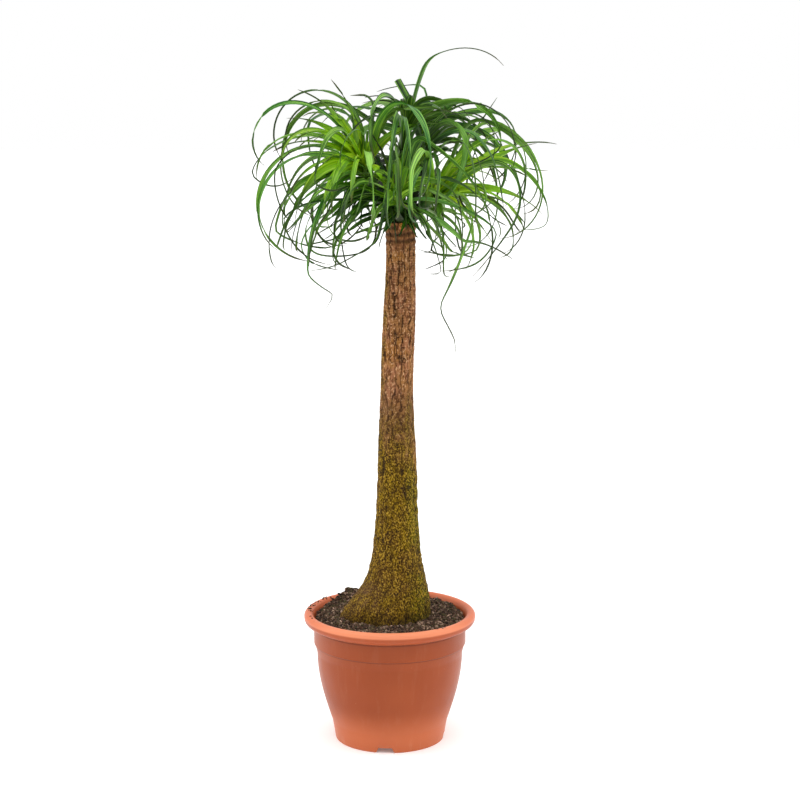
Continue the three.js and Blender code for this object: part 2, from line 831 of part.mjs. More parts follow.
// One try at a leaf of a shoot: the young ones stand at the tip, the old ones hang lower down.
function drawLeaf(shoot, curve, id, index, attempt) {
  const draw = seededDraw(id * 100003 + index * 1009 + attempt * 17 + 11);
  draw();
  const age = (index + 0.5) / shoot.leaves;
  const from = 1 - DRAWN.lowest * age;
  const looseness = DRAWN.looseness + Math.min(attempt, DRAWN.loosenTries) * DRAWN.loosenPerTry;
  const around = radians(shoot.phase + index * DRAWN.turnBetween + (draw() - 0.5) * looseness);
  const opening = DRAWN.spread + DRAWN.spreadWithAge * age ** DRAWN.spreadBend;
  const spread = radians(opening + DRAWN.spreadRange * (draw() - 0.5));
  const axis = shootHeading(shoot, from);
  const [first, second] = squareTo(axis);
  const heading = axis.clone().multiplyScalar(Math.cos(spread));
  heading.addScaledVector(first, Math.cos(around) * Math.sin(spread));
  heading.addScaledVector(second, Math.sin(around) * Math.sin(spread));
  const azimuth = THREE.MathUtils.radToDeg(Math.atan2(heading.y, heading.x));
  const rise = THREE.MathUtils.radToDeg(Math.asin(heading.z));
  const grown = Math.sin(Math.PI * Math.min(age * DRAWN.lengthAge, 1));
  let length = DRAWN.length + DRAWN.lengthWithAge * grown + DRAWN.lengthRange * (draw() - 0.5);
  length *= 1 - (DRAWN.shortenByTries * attempt) / SPACE.tries;
  length *= rise < 0 ? DRAWN.hangingShare : 1;
  const turn = Math.max(rise + DRAWN.turn + DRAWN.turnRange * draw(), DRAWN.leastTurn);
  const bend = 1 + DRAWN.bendRange * draw() * (1 - age * DRAWN.bendWithAge);
  const width = DRAWN.width + DRAWN.widthRange * draw();
  const roll = DRAWN.roll + DRAWN.rollRange * (draw() - 0.5);
  const twist = DRAWN.twistRange * (draw() - 0.5);
  const drift = DRAWN.driftRange * (draw() - 0.5);
  const sway = DRAWN.sway + DRAWN.swayRange * draw();
  const swayStart = draw();
  const kinked = draw() < DRAWN.kinkChance;
  const kinkAt = DRAWN.kinkFrom + DRAWN.kinkRange * draw();
  const kinkTurn = DRAWN.kinkTurn * (2 * draw() - 1);
  const kinks = kinked ? [[kinkAt, kinkTurn, DRAWN.kinkSpread]] : [];
  return { azimuth, rise, turn, bend, length, width, roll, twist, drift, sway, swayStart, kinks, from };
}

function placeLeaves() {
  const curves = SHOOTS.map(shootCurve);
  const placed = SHOOTS.map(() => []);
  markStems(curves);
  SHOOTS.forEach((shoot, index) => {
    for (const leaf of SHOWN[shoot.name]) {
      const stations = leafStations(leaf, curves[index].getPoint(leaf.from));
      markCells(leafCells(stations).flat(), index + 1);
      placed[index].push(stations);
    }
  });
  const rounds = Math.max(...SHOOTS.map((shoot) => shoot.leaves));
  for (let round = 0; round < rounds; round += 1) {
    SHOOTS.forEach((shoot, index) => {
      if (round >= shoot.leaves) return;
      const stations = tryLeaf(shoot, curves[index], index + 1, round);
      if (stations) placed[index].push(stations);
    });
  }
  return { curves, placed };
}

function tryLeaf(shoot, curve, id, round) {
  for (let attempt = 0; attempt < SPACE.tries; attempt += 1) {
    const leaf = drawLeaf(shoot, curve, id, round, attempt);
    const stations = leafStations(leaf, curve.getPoint(leaf.from));
    if (!insideCrown(stations)) continue;
    const rows = leafCells(stations);
    if (!isClear(rows, leaf, id, attempt)) continue;
    markCells(rows.flat(), id);
    return stations;
  }
  return null;
}

function makeHead(curve, leaves) {
  let head = makeNeck(curve);
  for (const stations of leaves) head = head.add(makeBlade(stations));
  return mainBody(head);
}

// The whole plant

const plant = new THREE.Group();
plant.add(mesh("pot", makePot(), COLOURS.pot, 0.55));
plant.add(mesh("soil", makeSoil(), COLOURS.soil, 0.95));
plant.add(mesh("trunk", makeTrunk(0), COLOURS.trunk, 0.9));
const { curves, placed } = placeLeaves();
SHOOTS.forEach((shoot, index) => {
  const head = makeHead(curves[index], placed[index]);
  plant.add(mesh(`head_${shoot.name}`, head, COLOURS[shoot.name], 0.5));
});

export default plant;
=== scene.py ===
import itertools
import math

import bpy
import numpy as np
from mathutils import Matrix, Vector


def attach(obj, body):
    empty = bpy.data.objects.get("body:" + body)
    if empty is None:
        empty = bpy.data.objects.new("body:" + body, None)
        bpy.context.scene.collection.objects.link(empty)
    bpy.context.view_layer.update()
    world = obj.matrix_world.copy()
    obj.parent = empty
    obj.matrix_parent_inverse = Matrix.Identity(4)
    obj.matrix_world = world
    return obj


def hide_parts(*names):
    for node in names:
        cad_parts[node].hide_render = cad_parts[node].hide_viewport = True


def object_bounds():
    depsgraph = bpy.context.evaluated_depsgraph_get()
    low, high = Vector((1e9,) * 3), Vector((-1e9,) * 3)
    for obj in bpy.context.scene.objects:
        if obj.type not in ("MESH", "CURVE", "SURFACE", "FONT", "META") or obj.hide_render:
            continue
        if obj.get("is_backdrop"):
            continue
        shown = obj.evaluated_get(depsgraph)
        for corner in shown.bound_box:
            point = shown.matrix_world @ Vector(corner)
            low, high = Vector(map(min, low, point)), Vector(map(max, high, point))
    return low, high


# Potted ponytail palm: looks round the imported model. Shapes are set in millimetres and degrees; the meshes,
# the places in a material and the studio are in metres.
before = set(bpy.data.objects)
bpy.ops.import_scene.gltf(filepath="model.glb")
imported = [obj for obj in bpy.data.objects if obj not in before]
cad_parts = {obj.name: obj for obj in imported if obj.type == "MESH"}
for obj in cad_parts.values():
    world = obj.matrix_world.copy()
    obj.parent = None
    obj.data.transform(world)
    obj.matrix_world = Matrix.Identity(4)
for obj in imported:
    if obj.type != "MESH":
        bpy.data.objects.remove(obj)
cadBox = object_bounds()
print("frame loaded")

mm = 0.001
turn = 2 * math.pi


# Numbers and noise

def radians(degrees):
    return np.asarray(degrees) * math.pi / 180


def placesRound(count):  # even angles round a full turn
    return turn * np.arange(count) / count


def turnPair(first, second, angle):  # two coordinates or directions, turned by an angle in their plane
    return first * np.cos(angle) - second * np.sin(angle), first * np.sin(angle) + second * np.cos(angle)


def ease(low, high, value):  # 0 below low, 1 above high, and a smooth curve between
    share = np.clip((value - low) / (high - low), 0, 1)
    return share * share * (3 - 2 * share)


def bell(distance, spread):  # e to the minus square of distance over spread
    return np.exp(-((distance / spread) ** 2))


def hashed(cells, seed):  # one repeatable number from 0 to 1 for each whole-number cell
    mixed = (cells * np.array([73856093, 19349663, 83492791])).sum(-1) + seed * 2654435761
    mixed = mixed & 0xFFFFFFFF
    mixed = ((mixed ^ (mixed >> 15)) * 0x2C1B3C6D) & 0xFFFFFFFF
    mixed = ((mixed ^ (mixed >> 12)) * 0x297A2D39) & 0xFFFFFFFF
    return (mixed ^ (mixed >> 15)) / 0xFFFFFFFF


def softNoise(points, size, seed, tall=1):  # -1 to 1, blended between random numbers on a lattice
    place = points * (1, 1, tall) / size
    corner = np.floor(place).astype(np.int64)
    part = place - corner
    part = part * part * (3 - 2 * part)
    total = np.zeros(place.shape[:-1])
    for offset in itertools.product((0, 1), repeat=3):
        weight = np.prod(np.where(np.array(offset) == 1, part, 1 - part), axis=-1)
        total += weight * hashed(corner + np.array(offset), seed)
    return 2 * total - 1


# Meshes

def makeObject(name, points, faces, material, sharpAngle=None):  # from points in mm and lists of faces
    mesh = bpy.data.meshes.new(name)
    places = (np.asarray(points) * mm).tolist()
    mesh.from_pydata(places, [], [face for part in faces for face in part.tolist()])
    mesh.polygons.foreach_set("use_smooth", np.ones(len(mesh.polygons), bool))
    if sharpAngle is not None:
        mesh.set_sharp_from_angle(angle=math.radians(sharpAngle))
    mesh.materials.append(material)
    piece = bpy.data.objects.new(name, mesh)
    bpy.context.scene.collection.objects.link(piece)
    return piece


def paintPoints(piece, name, values):  # four numbers for each point, read by the material
    layer = piece.data.attributes.new(name, "FLOAT_COLOR", "POINT")
    layer.data.foreach_set("color", np.asarray(values, np.float32).ravel())


def gridFaces(rows, columns, closed):  # quads between rows of points, each row closing on itself if asked
    row = np.arange(rows - 1)[:, None] * columns
    here = np.arange(columns if closed else columns - 1)[None]
    after = (here + 1) % columns
    quads = np.stack([row + here, row + after, row + columns + after, row + columns + here], -1)
    return quads.reshape(-1, 4)


def fanFaces(ring, middle, flip):  # triangles from a closed ring of points to one middle point
    after = np.roll(ring, -1)
    fan = np.stack([ring, after, np.full(len(ring), middle)], -1)
    return fan[:, ::-1] if flip else fan


def ringPoints(radius, angle, height):  # x, y and z from a radius, an angle and a height, as whole arrays
    return np.stack(np.broadcast_arrays(radius * np.cos(angle), radius * np.sin(angle), height), -1)


def closedSkin(rings, ends, flip=False):  # quads between rings of points, and a fan to a point at each end
    rows, columns = rings.shape[:2]
    ring = np.arange(columns)
    sides = gridFaces(rows, columns, True)
    lowFan = fanFaces(ring, rows * columns, not flip)
    highFan = fanFaces(ring + (rows - 1) * columns, rows * columns + 1, flip)
    points = np.vstack([rings.reshape(-1, 3), ends])
    return points, [sides[:, ::-1] if flip else sides, lowFan, highFan]


def roundCorners(corners, steps):  # each corner (radius, height, cut) becomes a curve between its two cuts
    places = np.array([corner[:2] for corner in corners], float)
    cuts = [corner[2] if len(corner) > 2 else 0 for corner in corners]
    outline = [places[0]]
    share = np.linspace(0, 1, steps + 1)[:, None]
    for index in range(1, len(places) - 1):
        here = places[index]
        if not cuts[index]:
            outline.append(here)
            continue
        before = places[index - 1] - here
        after = places[index + 1] - here
        first = here + before * min(cuts[index] / np.linalg.norm(before), 0.5)
        last = here + after * min(cuts[index] / np.linalg.norm(after), 0.5)
        outline.extend((1 - share) ** 2 * first + 2 * share * (1 - share) * here + share ** 2 * last)
    return np.array(outline + [places[-1]])


def squareTo(axis):  # two directions square to an axis
    first = np.array([axis[2], 0, -axis[0]])
    first = first / np.linalg.norm(first)
    return first, np.cross(axis, first)


def ringAcross(first, second, columns):  # steps of length one round the plane of two directions
    around = placesRound(columns)[:, None]
    return np.cos(around) * first + np.sin(around) * second


# Materials

def paint(red, green, blue):  # a colour as seen on a screen, 0 to 255, turned into light
    seen = np.array([red, green, blue]) / 255
    light = np.where(seen <= 0.04045, seen / 12.92, ((seen + 0.055) / 1.055) ** 2.4)
    return (*light.tolist(), 1)


def newMaterial(name):
    material = bpy.data.materials.new(name)
    material.use_nodes = True
    return material, material.node_tree


def addNode(tree, kind, inputs, **settings):  # an input is a value, or a socket to link
    node = tree.nodes.new(kind)
    for name, value in settings.items():
        setattr(node, name, value)
    for name, value in inputs.items():
        if isinstance(value, bpy.types.NodeSocket):
            tree.links.new(value, node.inputs[name])
        else:
            node.inputs[name].default_value = value
    return node


def objectPlace(tree, stretch=(1, 1, 1)):  # the point in the piece's own space, in metres times the stretch
    place = addNode(tree, "ShaderNodeTexCoord", {}).outputs["Object"]
    return addNode(tree, "ShaderNodeMapping", {"Vector": place, "Scale": stretch}).outputs["Vector"]


def noiseOf(tree, scale, detail, roughness, stretch=(1, 1, 1), place=None):  # in the piece's own space
    place = objectPlace(tree, stretch) if place is None else place
    inputs = {"Vector": place, "Scale": scale, "Detail": detail, "Roughness": roughness}
    return addNode(tree, "ShaderNodeTexNoise", inputs).outputs["Fac"]


def between(tree, value, low, high, start=0, end=1):  # low to high turned smoothly into start to end
    inputs = {"Value": value, "From Min": low, "From Max": high, "To Min": start, "To Max": end}
    return addNode(tree, "ShaderNodeMapRange", inputs, interpolation_type="SMOOTHSTEP").outputs["Result"]


def sums(tree, operation, first, second):
    node = addNode(tree, "ShaderNodeMath", {0: first, 1: second}, operation=operation)
    return node.outputs["Value"]


def times(tree, first, second):
    return sums(tree, "MULTIPLY", first, second)


def mixColour(tree, share, first, second):  # each colour is a socket, or the three numbers of a screen
    inputs = {0: share, 6: first, 7: second}
    for place in (6, 7):
        if isinstance(inputs[place], tuple):
            inputs[place] = paint(*inputs[place])
    return addNode(tree, "ShaderNodeMix", inputs, data_type="RGBA").outputs[2]


def layered(tree, colour, layers):  # a layer is a source, perhaps its low and high, strength and colour
    for source, *limits, strength, tint in layers:
        share = between(tree, source, *limits, 0, strength) if limits else times(tree, source, strength)
        colour = mixColour(tree, share, colour, tint)
    return colour


def layerOf(tree, name):  # the four numbers that paintPoints gave
    node = addNode(tree, "ShaderNodeAttribute", {}, attribute_name=name)
    parts = addNode(tree, "ShaderNodeSeparateColor", {"Color": node.outputs["Color"]})
    return [parts.outputs["Red"], parts.outputs["Green"], parts.outputs["Blue"], node.outputs["Alpha"]]


def bumpOf(tree, height, strength, distance):  # relief that only bends the light
    inputs = {"Height": height, "Strength": strength, "Distance": distance}
    return addNode(tree, "ShaderNodeBump", inputs).outputs["Normal"]


def setShader(tree, colour, roughness, normal, **fixed):
    shader = tree.nodes["Principled BSDF"]
    for name, value in (("Base Color", colour), ("Roughness", roughness), ("Normal", normal)):
        tree.links.new(value, shader.inputs[name])
    for name, value in fixed.items():
        shader.inputs[name.replace("_", " ")].default_value = value


# Pot

pot = {
    "columns": 576, "wall": 2.4, "padRadius": 32, "padDraft": 2.5, "footRadius": 98.8, "footWidth": 4.8,
    "channelHeight": 10.5, "floorTop": 13, "floorInset": 0.2, "kneeRadius": 104.5, "kneeHeight": 34,
    "bellySwell": 27, "bellyTop": 160, "bellySteps": 18, "insideSteps": 6, "collarRadius": 137.5,
    "collarBottom": 178, "collarTop": 210.6, "ledge": 1.6, "hem": (141.5, 211), "insideLip": 217,
    "bevel": ((151, 215.5), (154.3, 220)), "rimRadius": 155, "rimRoll": 8.5, "rimRollHeight": 226.3,
    "rimRollTurn": 150, "rimRollSteps": 16, "cornerSteps": 4, "sharpFrom": 38, "notches": 4,
    "notchTurn": -94.7, "notchWidth": 33, "notchTopWidth": 24, "notchHeight": 9, "holes": 4,
    "holeRadius": 6, "holeCircle": 64, "holeSides": 40, "cutterBelow": 4, "cutterHeight": 10,
    "lineEdge": 0.0008,
    "paintedShadeLines": ((0.1758, 0.1774), (0.2075, 0.2106)),
}


def rimPoint(roll):  # radius and height on the rim at an angle round its roll
    radius = pot["rimRadius"] - pot["rimRoll"] + pot["rimRoll"] * np.cos(roll)
    return radius, pot["rimRollHeight"] + pot["rimRoll"] * np.sin(roll)


def bellyRadius(height, inset=0):  # a quarter sine from the knee to the top of the belly
    share = (np.asarray(height) - pot["kneeHeight"]) / (pot["bellyTop"] - pot["kneeHeight"])
    return pot["kneeRadius"] + pot["bellySwell"] * np.sin(share * math.pi / 2) - inset


def bellyPoints(inset, steps):  # points up the belly, set in by the inset
    heights = np.linspace(pot["kneeHeight"], pot["bellyTop"], steps + 1)
    return list(zip(bellyRadius(heights, inset), heights))


def potOutline():  # the section from the middle of the underside, round the outside and back down the inside
    foot, pad, channel = pot["footRadius"], pot["padRadius"], pot["channelHeight"]
    collar, bottom, floor = pot["collarRadius"], pot["collarBottom"], pot["floorTop"]
    footInside, inside = foot - pot["footWidth"], collar - pot["wall"]
    belly = bellyPoints(0, pot["bellySteps"])
    roll = radians(np.linspace(0, pot["rimRollTurn"], pot["rimRollSteps"] + 1))
    corners = [
        (0, 0), (pad, 0, 1), (pad + pot["padDraft"], channel, 1), (footInside - 1.5, channel, 1),
        (footInside, 0, 0.8), (foot, 0, 1.2), (foot + 1.1, 6), (foot + 1.7, 10.2),
        (*belly[0], 2.5), *belly[1:-1], (*belly[-1], 3), (collar - pot["ledge"], bottom - 1, 0.3),
        (collar, bottom, 0.4), (collar, pot["collarTop"], 0.4), (*pot["hem"], 0.8),
        (*pot["bevel"][0], 3), (*pot["bevel"][1], 2.5), *zip(*rimPoint(roll)),
        (inside, pot["insideLip"], 2), (inside, bottom, 2),
        *bellyPoints(pot["wall"], pot["insideSteps"])[::-1],
        (foot - pot["floorInset"], floor, 1.5), (0, floor),
    ]
    return roundCorners(corners, pot["cornerSteps"])


def cutNotches(points, angle):  # the foot ring is squeezed up where a notch runs through it
    spacing = turn / pot["notches"]
    away = (angle - radians(pot["notchTurn"]) + spacing / 2) % spacing - spacing / 2
    arc = np.abs(away) * pot["footRadius"]
    slope = (pot["notchWidth"] - pot["notchTopWidth"]) / 2
    lift = pot["notchHeight"] * np.clip((pot["notchWidth"] / 2 - arc) / slope, 0, 1)
    radius = np.hypot(points[..., 0], points[..., 1])
    top = pot["channelHeight"]
    isFoot = (radius > pot["footRadius"] - pot["footWidth"] - 1.4) & (points[..., 2] < top)
    points[..., 2] = np.where(isFoot, lift + points[..., 2] * (top - lift) / top, points[..., 2])


def potMaterial():  # plain plastic, scuffed and dusty at the foot, with painted bounce light paler at the foot, a painted highlight up the rim and painted shade in two creases
    material, tree = newMaterial("potPlastic")
    clouds = noiseOf(tree, 7, 3, 0.55)
    grain = noiseOf(tree, 900, 2, 0.7)
    scuffs = noiseOf(tree, 160, 4, 0.7)
    streaks = noiseOf(tree, 1, 4, 0.65, (60, 60, 9))
    parts = addNode(tree, "ShaderNodeSeparateXYZ", {"Vector": objectPlace(tree)})
    height = parts.outputs["Z"]
    # painted highlight: the rim's roll is paler in front, where the light falls most, than at its sides
    inFront = between(tree, parts.outputs["Y"], -0.03, -0.14)
    roll = mixColour(tree, inFront, (210, 112, 74), (232, 140, 100))
    colour = layered(tree, (151, 67, 27), [
        (clouds, 0.35, 0.65, 1, (159, 73, 32)),
        # painted bounce light from the floor: paler towards the foot
        (height, 0.085, 0.02, 0.8, (206, 112, 70)),
        # painted highlight up the rim: paler from the hem, and paler still on the roll
        (height, 0.2105, 0.2125, 0.9, (172, 80, 42)),
        (height, 0.2235, 0.2275, 0.95, roll),
    ])
    # painted shade: a dark line in the groove at the collar's foot and one just under the rim's hem
    for low, high in pot["paintedShadeLines"]:
        line = between(tree, height, low - pot["lineEdge"], low)
        line = times(tree, line, between(tree, height, high + pot["lineEdge"], high, 0, 0.6))
        colour = mixColour(tree, line, colour, (104, 46, 24))
    dust = times(tree, between(tree, streaks, 0.5, 0.75), between(tree, height, 0.03, 0, 0.04, 0.25))
    colour = layered(tree, colour, [
        (grain, 0.62, 0.78, 0.2, (150, 68, 38)),
        (scuffs, 0.68, 0.76, 0.35, (212, 140, 104)),
        (dust, 1, (226, 170, 138)),
    ])
    roughness = between(tree, streaks, 0.3, 0.8, 0.34, 0.48)
    relief = sums(tree, "ADD", grain, times(tree, clouds, 2))
    setShader(tree, colour, roughness, bumpOf(tree, relief, 0.22, 0.0004), Specular_IOR_Level=0.25, IOR=1.49)
    return material


def makePot():  # the section is turned round the middle in even columns
    outline = potOutline()
    angle = placesRound(pot["columns"]) + radians(pot["notchTurn"])
    rings = ringPoints(outline[1:-1, :1], angle, outline[1:-1, 1:])
    cutNotches(rings, angle)
    points, faces = closedSkin(rings, [(0, 0, outline[0, 1]), (0, 0, outline[-1, 1])])
    piece = makeObject("pot_moulded", points, faces, potMaterial())
    drillHoles(piece)
    piece.data.set_sharp_from_angle(angle=math.radians(pot["sharpFrom"]))
    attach(piece, "root")
    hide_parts("pot")


def drillHoles(piece):  # the drain holes are cut through the floor and the cutters then go
    side = ringPoints(pot["holeRadius"], placesRound(pot["holeSides"]), 0)
    for index in range(pot["holes"]):
        around = radians(pot["notchTurn"]) + turn * (index + 0.5) / pot["holes"]
        low = side + ringPoints(pot["holeCircle"], around, pot["channelHeight"] - pot["cutterBelow"])
        high = low + (0, 0, pot["cutterHeight"])
        points, faces = closedSkin(np.stack([low, high]), [low.mean(0), high.mean(0)])
        cutter = makeObject(f"cutter_{index}", points, faces, piece.data.materials[0])
        cut = piece.modifiers.new("hole", "BOOLEAN")
        cut.operation = "DIFFERENCE"
        cut.solver = "MANIFOLD"
        cut.object = cutter
        bpy.context.view_layer.objects.active = piece
        bpy.ops.object.modifier_apply(modifier=cut.name)
        bpy.data.objects.remove(cutter)


makePot()
print("pot made")


# Soil

soil = {
    "columns": 420, "rings": 96, "sideSteps": 10, "edgeHeight": 222, "middleHeight": 225.5, "levelAt": 0.5,
    "lump": 1.5, "backRise": 6, "backStart": (-40, 110), "heap": (-70, 99), "heapHeight": 17,
    "heapSpread": 34, "gap": 0.4, "crumbLift": 2.2, "edgeGap": 3, "edgeWidth": 5, "spotGap": 3.5,
    "trunkMiddle": -8, "trunkReach": (84, 72), "emptyShare": 0.12,
}


def soilHeight(x, y):  # a flat dome that rises to the back, waves two ways, a heap at the back left and lumps
    inside = (pot["collarRadius"] - pot["wall"]) - np.hypot(x, y)
    rise = ease(0, soil["levelAt"], inside / pot["collarRadius"])
    base = soil["edgeHeight"] + (soil["middleHeight"] - soil["edgeHeight"]) * rise
    large = np.sin(x / 9 + 1) * np.cos(y / 11)
    small = np.sin((x + y) / 6.5) * np.cos((x - y) / 8)
    back = soil["backRise"] * ease(*soil["backStart"], y)
    heapX, heapY = soil["heap"]
    heap = soil["heapHeight"] * bell(np.hypot(x - heapX, y - heapY), soil["heapSpread"])
    flat = np.stack([x, y, 0 * x], -1)
    lumps = softNoise(flat, 5.5, 11) + 0.7 * np.abs(softNoise(flat, 3.1, 12)) + 0.4 * softNoise(flat, 1.7, 13)
    worn = soil["edgeGap"] * ease(soil["edgeWidth"], 0, inside)
    return base + soil["lump"] * (large + 0.7 * small) + back + heap + soil["crumbLift"] * lumps - worn


def soilMaterial(name, pale):  # dark grains with pale specks; pale says how light the lightest are
    material, tree = newMaterial(name)
    tone = layerOf(tree, "soilLook")[0]
    coarse = noiseOf(tree, 230, 4, 0.75)
    fine = noiseOf(tree, 520, 3, 0.75)
    tint = noiseOf(tree, 130, 2, 0.6)
    colour = layered(tree, (14, 8, 5), [
        (coarse, 0.4, 0.58, 1, (90, 62, 44)),
        (tint, 0.54, 0.62, 0.6, (84, 84, 40)),
        (fine, 0.56, 0.68, 0.9, (164, 130, 102)),
        (fine, 0.46, 0.38, 0.85, (12, 7, 5)),
        (tone, 0.55, 0.95, pale, (232, 194, 166)),
    ])
    normal = bumpOf(tree, sums(tree, "ADD", coarse, fine), 1.0, 0.0016)
    setShader(tree, colour, between(tree, fine, 0.3, 0.7, 0.7, 0.98), normal, Specular_IOR_Level=0.3)
    return material


def makeSoil():  # rings up the inside of the wall, then inwards over the surface to the middle
    gap, bottom = soil["gap"], pot["floorTop"] + soil["gap"]
    edge = pot["collarRadius"] - pot["wall"] - gap
    angle = placesRound(soil["columns"])
    corner = (pot["footRadius"] - pot["floorInset"] - gap, bottom)
    belly = bellyPoints(pot["wall"] + gap, soil["sideSteps"])
    side = np.array([corner, *belly, (edge, pot["collarBottom"])])
    top = ringPoints(edge * (1 - np.linspace(0, 1, soil["rings"] + 1)[:-1, None]), angle, 0.0)
    top[..., 2] = soilHeight(top[..., 0], top[..., 1])
    rings = np.concatenate([ringPoints(side[:, :1], angle, side[:, 1:]), top])
    points, faces = closedSkin(rings, [(0, 0, bottom), (0, 0, soilHeight(np.zeros(1), np.zeros(1))[0])])
    piece = makeObject("soil_packed", points, faces, soilMaterial("soilDark", 0.5))
    tone = softNoise(points, 4, 21) * 0.5 + 0.5
    paintPoints(piece, "soilLook", np.stack([tone] * 4, -1))
    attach(piece, "root")
    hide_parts("soil")


lumpForm = {  # a lump's shape, the ranges by which each one differs, and where the rim's grains lie
    "sides": 6, "ring": (0.85, 0.45), "twist": 0.5, "stretch": (0.65, 1.25), "rough": (0.75, 1.2),
    "tilt": (-0.5, 0.5), "lift": 0.5, "leftShare": 0.8, "atLeft": (166, 20), "atRight": (-53, 3.5),
    "rimRoll": (62, 140),
}


def lumpShape():  # a rough six-sided ball of two rings and two ends, which each crumb stretches
    side = placesRound(lumpForm["sides"])
    radius, height = lumpForm["ring"]
    lower = ringPoints(radius, side + lumpForm["twist"], -height)
    rings = np.stack([lower, ringPoints(radius, side, height)])
    points, (sides, lowFan, highFan) = closedSkin(rings, [(0, 0, -1), (0, 0, 1)])
    return points, np.vstack([sides[:, [0, 1, 2]], sides[:, [0, 2, 3]], lowFan, highFan])


def scatterLumps(name, places, sizes, stretch, sink, seed, material):  # turned, stretched copies on the soil
    draw = np.random.default_rng(seed)
    shape, faces = lumpShape()
    count = len(places)
    sizes = sizes[:, None] * draw.uniform(*lumpForm["stretch"], (count, 3)) * stretch
    body = shape[None] * sizes[:, None] * draw.uniform(*lumpForm["rough"], (count, len(shape), 1))
    heading = draw.uniform(0, turn, (count, 1))
    tilt = draw.uniform(*lumpForm["tilt"], (count, 1))
    x, z = turnPair(body[..., 0], body[..., 2], tilt)
    x, y = turnPair(x, body[..., 1], heading)
    lift = (sizes[:, 2] * (1 - sink))[:, None, None] * lumpForm["lift"]
    points = np.stack([x, y, z], -1) + (places[:, None] + np.array([0, 0, 1]) * lift)
    allFaces = (faces[None] + np.arange(count)[:, None, None] * len(shape)).reshape(-1, 3)
    piece = makeObject(name, points.reshape(-1, 3), [allFaces], material)
    tone = np.repeat(draw.uniform(0, 1, count) ** 2, len(shape))
    paintPoints(piece, "soilLook", np.stack([tone] * 4, -1))
    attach(piece, "root")


def soilSpots(count, seed):  # spots spread evenly over the surface, between the trunk's foot and the pot
    draw = np.random.default_rng(seed)
    reach = pot["collarRadius"] - pot["wall"] - soil["spotGap"]
    radius = reach * np.sqrt(draw.uniform(soil["emptyShare"], 1, count * 2))
    angle = draw.uniform(0, turn, count * 2)
    x, y = radius * np.cos(angle), radius * np.sin(angle)
    wide, deep = soil["trunkReach"]
    clear = np.hypot((x - soil["trunkMiddle"]) / wide, y / deep) > 1
    x, y = x[clear][:count], y[clear][:count]
    return np.stack([x, y, soilHeight(x, y)], -1)


def rimSpots(count, seed):  # grains spilt on the rim, most of them at the left, a few at the right front
    draw = np.random.default_rng(seed)
    onLeft = draw.uniform(0, 1, count) < lumpForm["leftShare"]
    left, right = (draw.normal(*lumpForm[key], count) for key in ("atLeft", "atRight"))
    degrees = np.where(onLeft, left, right)
    radius, height = rimPoint(radians(draw.uniform(*lumpForm["rimRoll"], count)))
    return ringPoints(radius, radians(degrees), height)


lumpKinds = {  # where they lie, how many, their sizes, stretch and sink, the first of three seeds, their look
    "soil_crumbs": (soilSpots, 3000, (1.0, 3.6), (1, 1, 0.8), 0.4, 31, "soilCrumb"),
    "soil_chips": (soilSpots, 1000, (1.2, 3.4), (1.5, 0.5, 0.35), 0.2, 34, "soilChip"),
    "rim_grains": (rimSpots, 52, (0.7, 2.8), (1, 1, 0.7), 0.6, 37, "soilCrumb"),
}


def makeLumps():  # a seed draws the spots, the next one the sizes, the third one the lumps
    looks = {name: soilMaterial(name, pale) for name, pale in (("soilCrumb", 0.35), ("soilChip", 1.0))}
    for name, (spotsOf, count, sizeRange, stretch, sink, seed, look) in lumpKinds.items():
        spots = spotsOf(count, seed)
        sizes = np.random.default_rng(seed + 1).uniform(*sizeRange, len(spots))
        scatterLumps(name, spots, sizes, stretch, sink, seed + 2, looks[look])


makeSoil()
makeLumps()
print("soil made")


# Trunk

trunk = {
    "columns": 168, "buriedRows": 9, "rowStep": 1.27, "rowsFrom": 214, "bottom": 150, "ground": 222,
    "top": 936, "topRadius": 25.2, "slowFlare": 31, "slowFall": 220, "foot": 25, "footFall": 62,
    "footBulge": 4, "footTaper": 22, "middleX": 12.7, "topShift": 6.3, "leanStart": (560, 890),
    "footShift": 22, "footShiftFall": 50, "frontSquash": 0.12, "squashFall": 80, "lobe": 4.5,
    "lobeHeight": 205, "lobeFall": 85, "swelling": 0.8, "scarPitch": 12, "scarDepth": 1.0, "scarTilt": 2.5,
    "cracksAround": 14, "crackDepth": 1.5, "crackFrom": (470, 740), "wrinklePitch": 4.6,
    "wrinkleDepth": 0.35, "grainDepth": 0.9, "mossFrom": (520, 668), "pits": 0.9, "knotDepth": 1.6,
    "knotSize": 2.6, "knots": ((-104.8, 742), (-84.7, 702), (-66, 468), (-72, 498)), "topInset": 0.72,
    "topLip": 1.2, "topDip": 2,
}


def scarWave(angle, height):  # a level wave that runs down from the top and tilts round the stem
    tilt = trunk["scarTilt"] * np.sin(angle + 0.7)
    return np.cos(turn * (trunk["top"] - height + tilt) / trunk["scarPitch"])


def trunkRadius(height):  # a slow flare, a swollen foot, and a taper below the ground
    above = np.maximum(height - trunk["ground"], 0)
    below = np.maximum(trunk["ground"] - height, 0) / (trunk["ground"] - trunk["bottom"])
    flare = trunk["slowFlare"] * np.exp(-above / trunk["slowFall"])
    foot = trunk["foot"] * bell(above, trunk["footFall"])
    buried = trunk["footBulge"] * np.sin(math.pi * below) - trunk["footTaper"] * below ** 2
    return trunk["topRadius"] + flare + foot + buried


def trunkMiddle(height):  # leans to the right near the top, and is pushed to the left at the foot
    above = np.maximum(height - trunk["ground"], 0)
    lean = trunk["topShift"] * ease(*trunk["leanStart"], height)
    return trunk["middleX"] + lean - trunk["footShift"] * bell(above, trunk["footShiftFall"])


